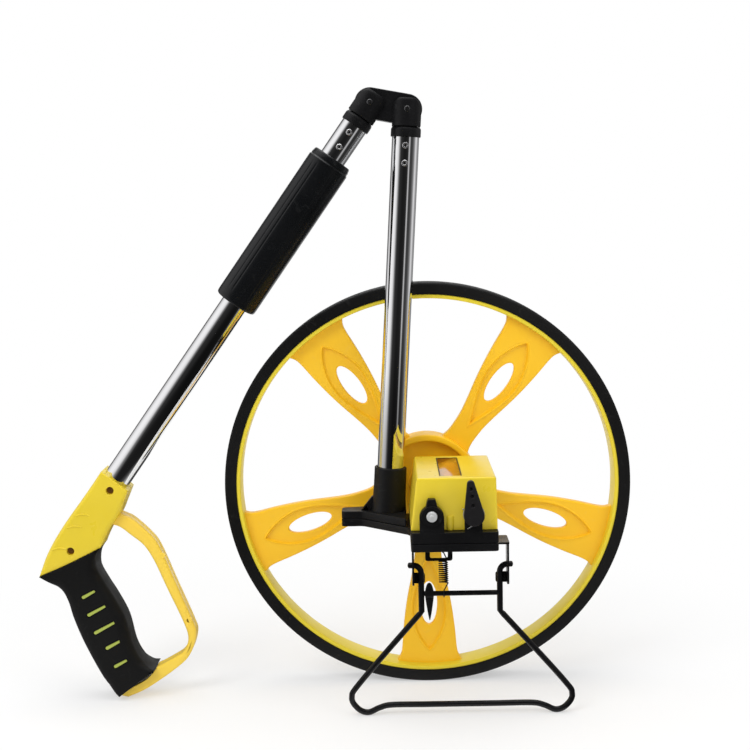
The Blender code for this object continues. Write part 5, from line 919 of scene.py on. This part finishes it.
bracket += plate([box_line(-4.0, 16.4, -38, STRAP_TOP - 0.6, 1.0), opening], 68, 69.5, 0.3, facing())
loop_place = placing((6.2, -68.7, -34), (1, 0, 0), (0, -0.16, 0.987))
loop_hole = hole(softened([(-6.6, -9.4), (6.6, -9.4), (6.6, -2), (-6.6, -2)], 1.5))
bracket += plate([box_line(-10.2, 10.2, -11.6, 0, 2.0), loop_hole], -0.6, 0.6, 0.3, loop_place)
piece("stand_frame", bracket, black_wire, "base", ["stand_bracket"], sharp=35)
strap_heads = []
for x, y in BRACKET_SCREWS:
    head = softened([(0, -2.0), (1.4, -1.9), (3.2, -1.0), (3.2, -0.1), (1.6, -0.1), (1.6, 6.5), (0, 6.5)],
                    (0, 0.5, 0.5, 0.1, 0.1, 0.3, 0), ring=False)
    strap_heads.append(turned(head, plan(x, y, STRAP_LOW), 32))
piece("strap_screws", strap_heads, steel, "base", ["bracket_screw_1", "bracket_screw_2"])

POINTER_X = -1.6
half_spear = smoothed([(0.0, 8.0), (1.5, 7.2), (2.8, 3.6), (3.3, 0.0), (2.97, -4.0),
                       (1.65, -13.0), (0.4, -19.4), (0.0, -20.0)], 4)
spear = outer(np.vstack((half_spear, (half_spear[1:-1] * (-1, 1))[::-1])))
spear_rings = [shifted(spear, 0), shifted(spear, -0.25), spear * (0.45, 0.86),
               spear * (0.12, 0.6), spear * (0.0, 0.5)]
spear_place = facing(POINTER_X, -66.5)
depths = [0.9, 1.15, 1.7, 1.8, 1.8]
spear_parts = [rising(spear_rings[::-1] + spear_rings, [STAND_DEPTH + d for d in depths[::-1]]
                      + [STAND_DEPTH - d for d in depths], spear_place)]
collar_line = softened([(2.1, 3.0), (3.2, 3.0), (3.3, 0), (3.2, -3.0), (2.1, -3.0)], 0.5)
spear_parts.append(turned(collar_line, placing((POINTER_X, -STAND_DEPTH, -66.5), (0, 1, 0), (0, 0, 1)), 40, True))
piece("pointer_spear", spear_parts, black_plastic, "stand_pointer", ["pointer"], sharp=35)
refinish("stand_spring", black_wire)


# Camera, lights and floor
# A pale studio: soft lights above and at both sides, a floor that is paper near the object and
# white further out, and a tent of grey cloth, open behind, which only mirrored rays see.

scene = bpy.context.scene
scene.view_settings.view_transform = "Standard"
camera_data = bpy.data.cameras.new("camera")
camera_data.lens = 62.4
camera_data.sensor_width = 36
camera = bpy.data.objects.new("camera", camera_data)
scene.collection.objects.link(camera)
yaw, pitch, roll = (math.radians(angle) for angle in (0.68, 7.20, -1.20))
side = Vector((math.cos(yaw), math.sin(yaw), 0))
ahead = Vector((-math.sin(yaw) * math.cos(pitch), math.cos(yaw) * math.cos(pitch), -math.sin(pitch)))
above = side.cross(ahead)
right = side * math.cos(roll) + above * math.sin(roll)
up = above * math.cos(roll) - side * math.sin(roll)
camera.matrix_world = Matrix((right, up, -ahead)).transposed().to_4x4()
camera.location = (0.0431, -0.95935, 0.37355)
scene.camera = camera


def lamp(name, centre, towards, width, height, power, mirrored=False):
    """Rectangular soft light that faces a point; the pieces mirror it only where that is asked for."""
    data = bpy.data.lights.new(name, "AREA")
    data.shape, data.size, data.size_y, data.energy = "RECTANGLE", width, height, power
    made = bpy.data.objects.new(name, data)
    made.location, made.rotation_mode = centre, "QUATERNION"
    made.rotation_quaternion = (Vector(centre) - Vector(towards)).to_track_quat("Z", "Y")
    scene.collection.objects.link(made)
    made.visible_camera = False
    made.visible_glossy = mirrored


aim = (0.0, 0.02, 0.22)
lamp("key_light", (-0.9, -1.1, 1.5), aim, 0.9, 0.9, 15)
lamp("fill_light", (1.2, -0.9, 0.8), aim, 0.9, 1.2, 6)
lamp("top_light", (0.0, 0.1, 1.6), aim, 1.4, 1.0, 9, True)

TENT = [(-180, 0.25), (-150, 0.12), (-132, 0.14), (-122, 0.6), (-95, 0.95), (-70, 0.97), (-55, 0.75), (-44, 0.2),
        (-34, 0.03), (-5, 0.012), (15, 0.014), (28, 0.03), (33, 0.5), (39, 0.5), (44, 0.05), (62, 0.05), (80, 0.2),
        (90, 0.5), (102, 0.8), (114, 0.4), (135, 0.24), (160, 0.28)]
tent_line = np.array([(0.13, 0.003), (0.62, 0.006), (0.9, 0.03), (1.4, 0.12), (2.2, 0.35), (2.2, 1.2), (2.2, 2.6)])
tent_points, tent_faces = turned(tent_line, np.eye(4), 96)
behind = np.abs((np.arange(len(tent_faces)) % 96 + 0.5) / 96 * 360 - 90) < 24
tent_faces = tent_faces[~behind]
tent_mesh = bpy.data.meshes.new("tent")
tent_mesh.from_pydata(tent_points, [], tent_faces.tolist())
tent = bpy.data.objects.new("tent", tent_mesh)
tent.location = (HUB[0], HUB[1], 0)
scene.collection.objects.link(tent)
tent.visible_camera = tent.visible_diffuse = tent.visible_shadow = tent.visible_transmission = False
cloth, tree = new_material("tent_cloth")
where = added(tree, "TexCoord", {}, "Object")
around = added(tree, "TexGradient", {"Vector": where}, "Color", gradient_type="RADIAL")
height = added(tree, "SeparateXYZ", {"Vector": where}, "Z")
lower = added(tree, "MapRange", {"From Max": 0.12, "To Min": 0.42, "Value": height}, "Result")
shades = fed(tree, tree.nodes.new("ShaderNodeValToRGB"), {"Fac": around})
stops = sorted(((angle / 360 + 0.25) % 1, grey) for angle, grey in TENT)
for place, grey in stops[1:-1]:
    shades.color_ramp.elements.new(place)
for stop, (place, grey) in zip(shades.color_ramp.elements, stops):
    stop.position, stop.color = place, (grey, grey * 0.985, grey * 0.99, 1)
glow = added(tree, "Emission", {"Color": shades.outputs["Color"], "Strength": lower}, "Emission")
fed(tree, tree.nodes["Material Output"], {"Surface": glow})
tent_mesh.materials.append(cloth)


def seen_rays(tree):
    """1 for a ray from the camera, for a mirrored one and for one through glass, else 0."""
    rays = tree.nodes.new("ShaderNodeLightPath").outputs
    either = added(tree, "Math", {0: rays["Is Camera Ray"], 1: rays["Is Glossy Ray"]}, "Value",
                   operation="MAXIMUM")
    return added(tree, "Math", {0: either, 1: rays["Is Transmission Ray"]}, "Value", operation="MAXIMUM")


FLOOR_HALF, PAPER_TO, WHITE_FROM, LEAST_WHITE = 30, 0.16, 0.5, 0.45
floor_mesh = bpy.data.meshes.new("floor")
floor_mesh.from_pydata([(x * FLOOR_HALF, y * FLOOR_HALF, 0) for x, y in ((-1, -1), (1, -1), (1, 1), (-1, 1))],
                       [], [(0, 1, 2, 3)])
floor = put("floor", floor_mesh)
paper, tree = new_material("floor_paper")
fed(tree, tree.nodes["Principled BSDF"], {"Base Color": (0.95, 0.95, 0.95, 1), "Roughness": 0.9,
                                          "Specular IOR Level": 0.1})
reach = added(tree, "VectorMath", {0: added(tree, "TexCoord", {}, "Object")}, "Value", operation="LENGTH")
fade = added(tree, "MapRange", {"From Min": PAPER_TO, "From Max": WHITE_FROM, "To Min": LEAST_WHITE,
                                "Value": reach}, "Result", interpolation_type="SMOOTHSTEP")
share = added(tree, "Math", {0: fade, 1: seen_rays(tree)}, "Value", operation="MULTIPLY")
white = added(tree, "Emission", {"Color": (1, 1, 1, 1)}, "Emission")
blend = added(tree, "MixShader", {0: share, 1: tree.nodes["Principled BSDF"].outputs["BSDF"], 2: white},
              "Shader")
fed(tree, tree.nodes["Material Output"], {"Surface": blend})
floor_mesh.materials.append(paper)

world = bpy.data.worlds.new("world")
scene.world = world
world.use_nodes = True
strength = added(world.node_tree, "MapRange", {"To Min": 0.5, "To Max": 1.0, "Value": seen_rays(world.node_tree)},
                 "Result")
fed(world.node_tree, world.node_tree.nodes["Background"], {"Color": (1, 1, 1, 1), "Strength": strength})
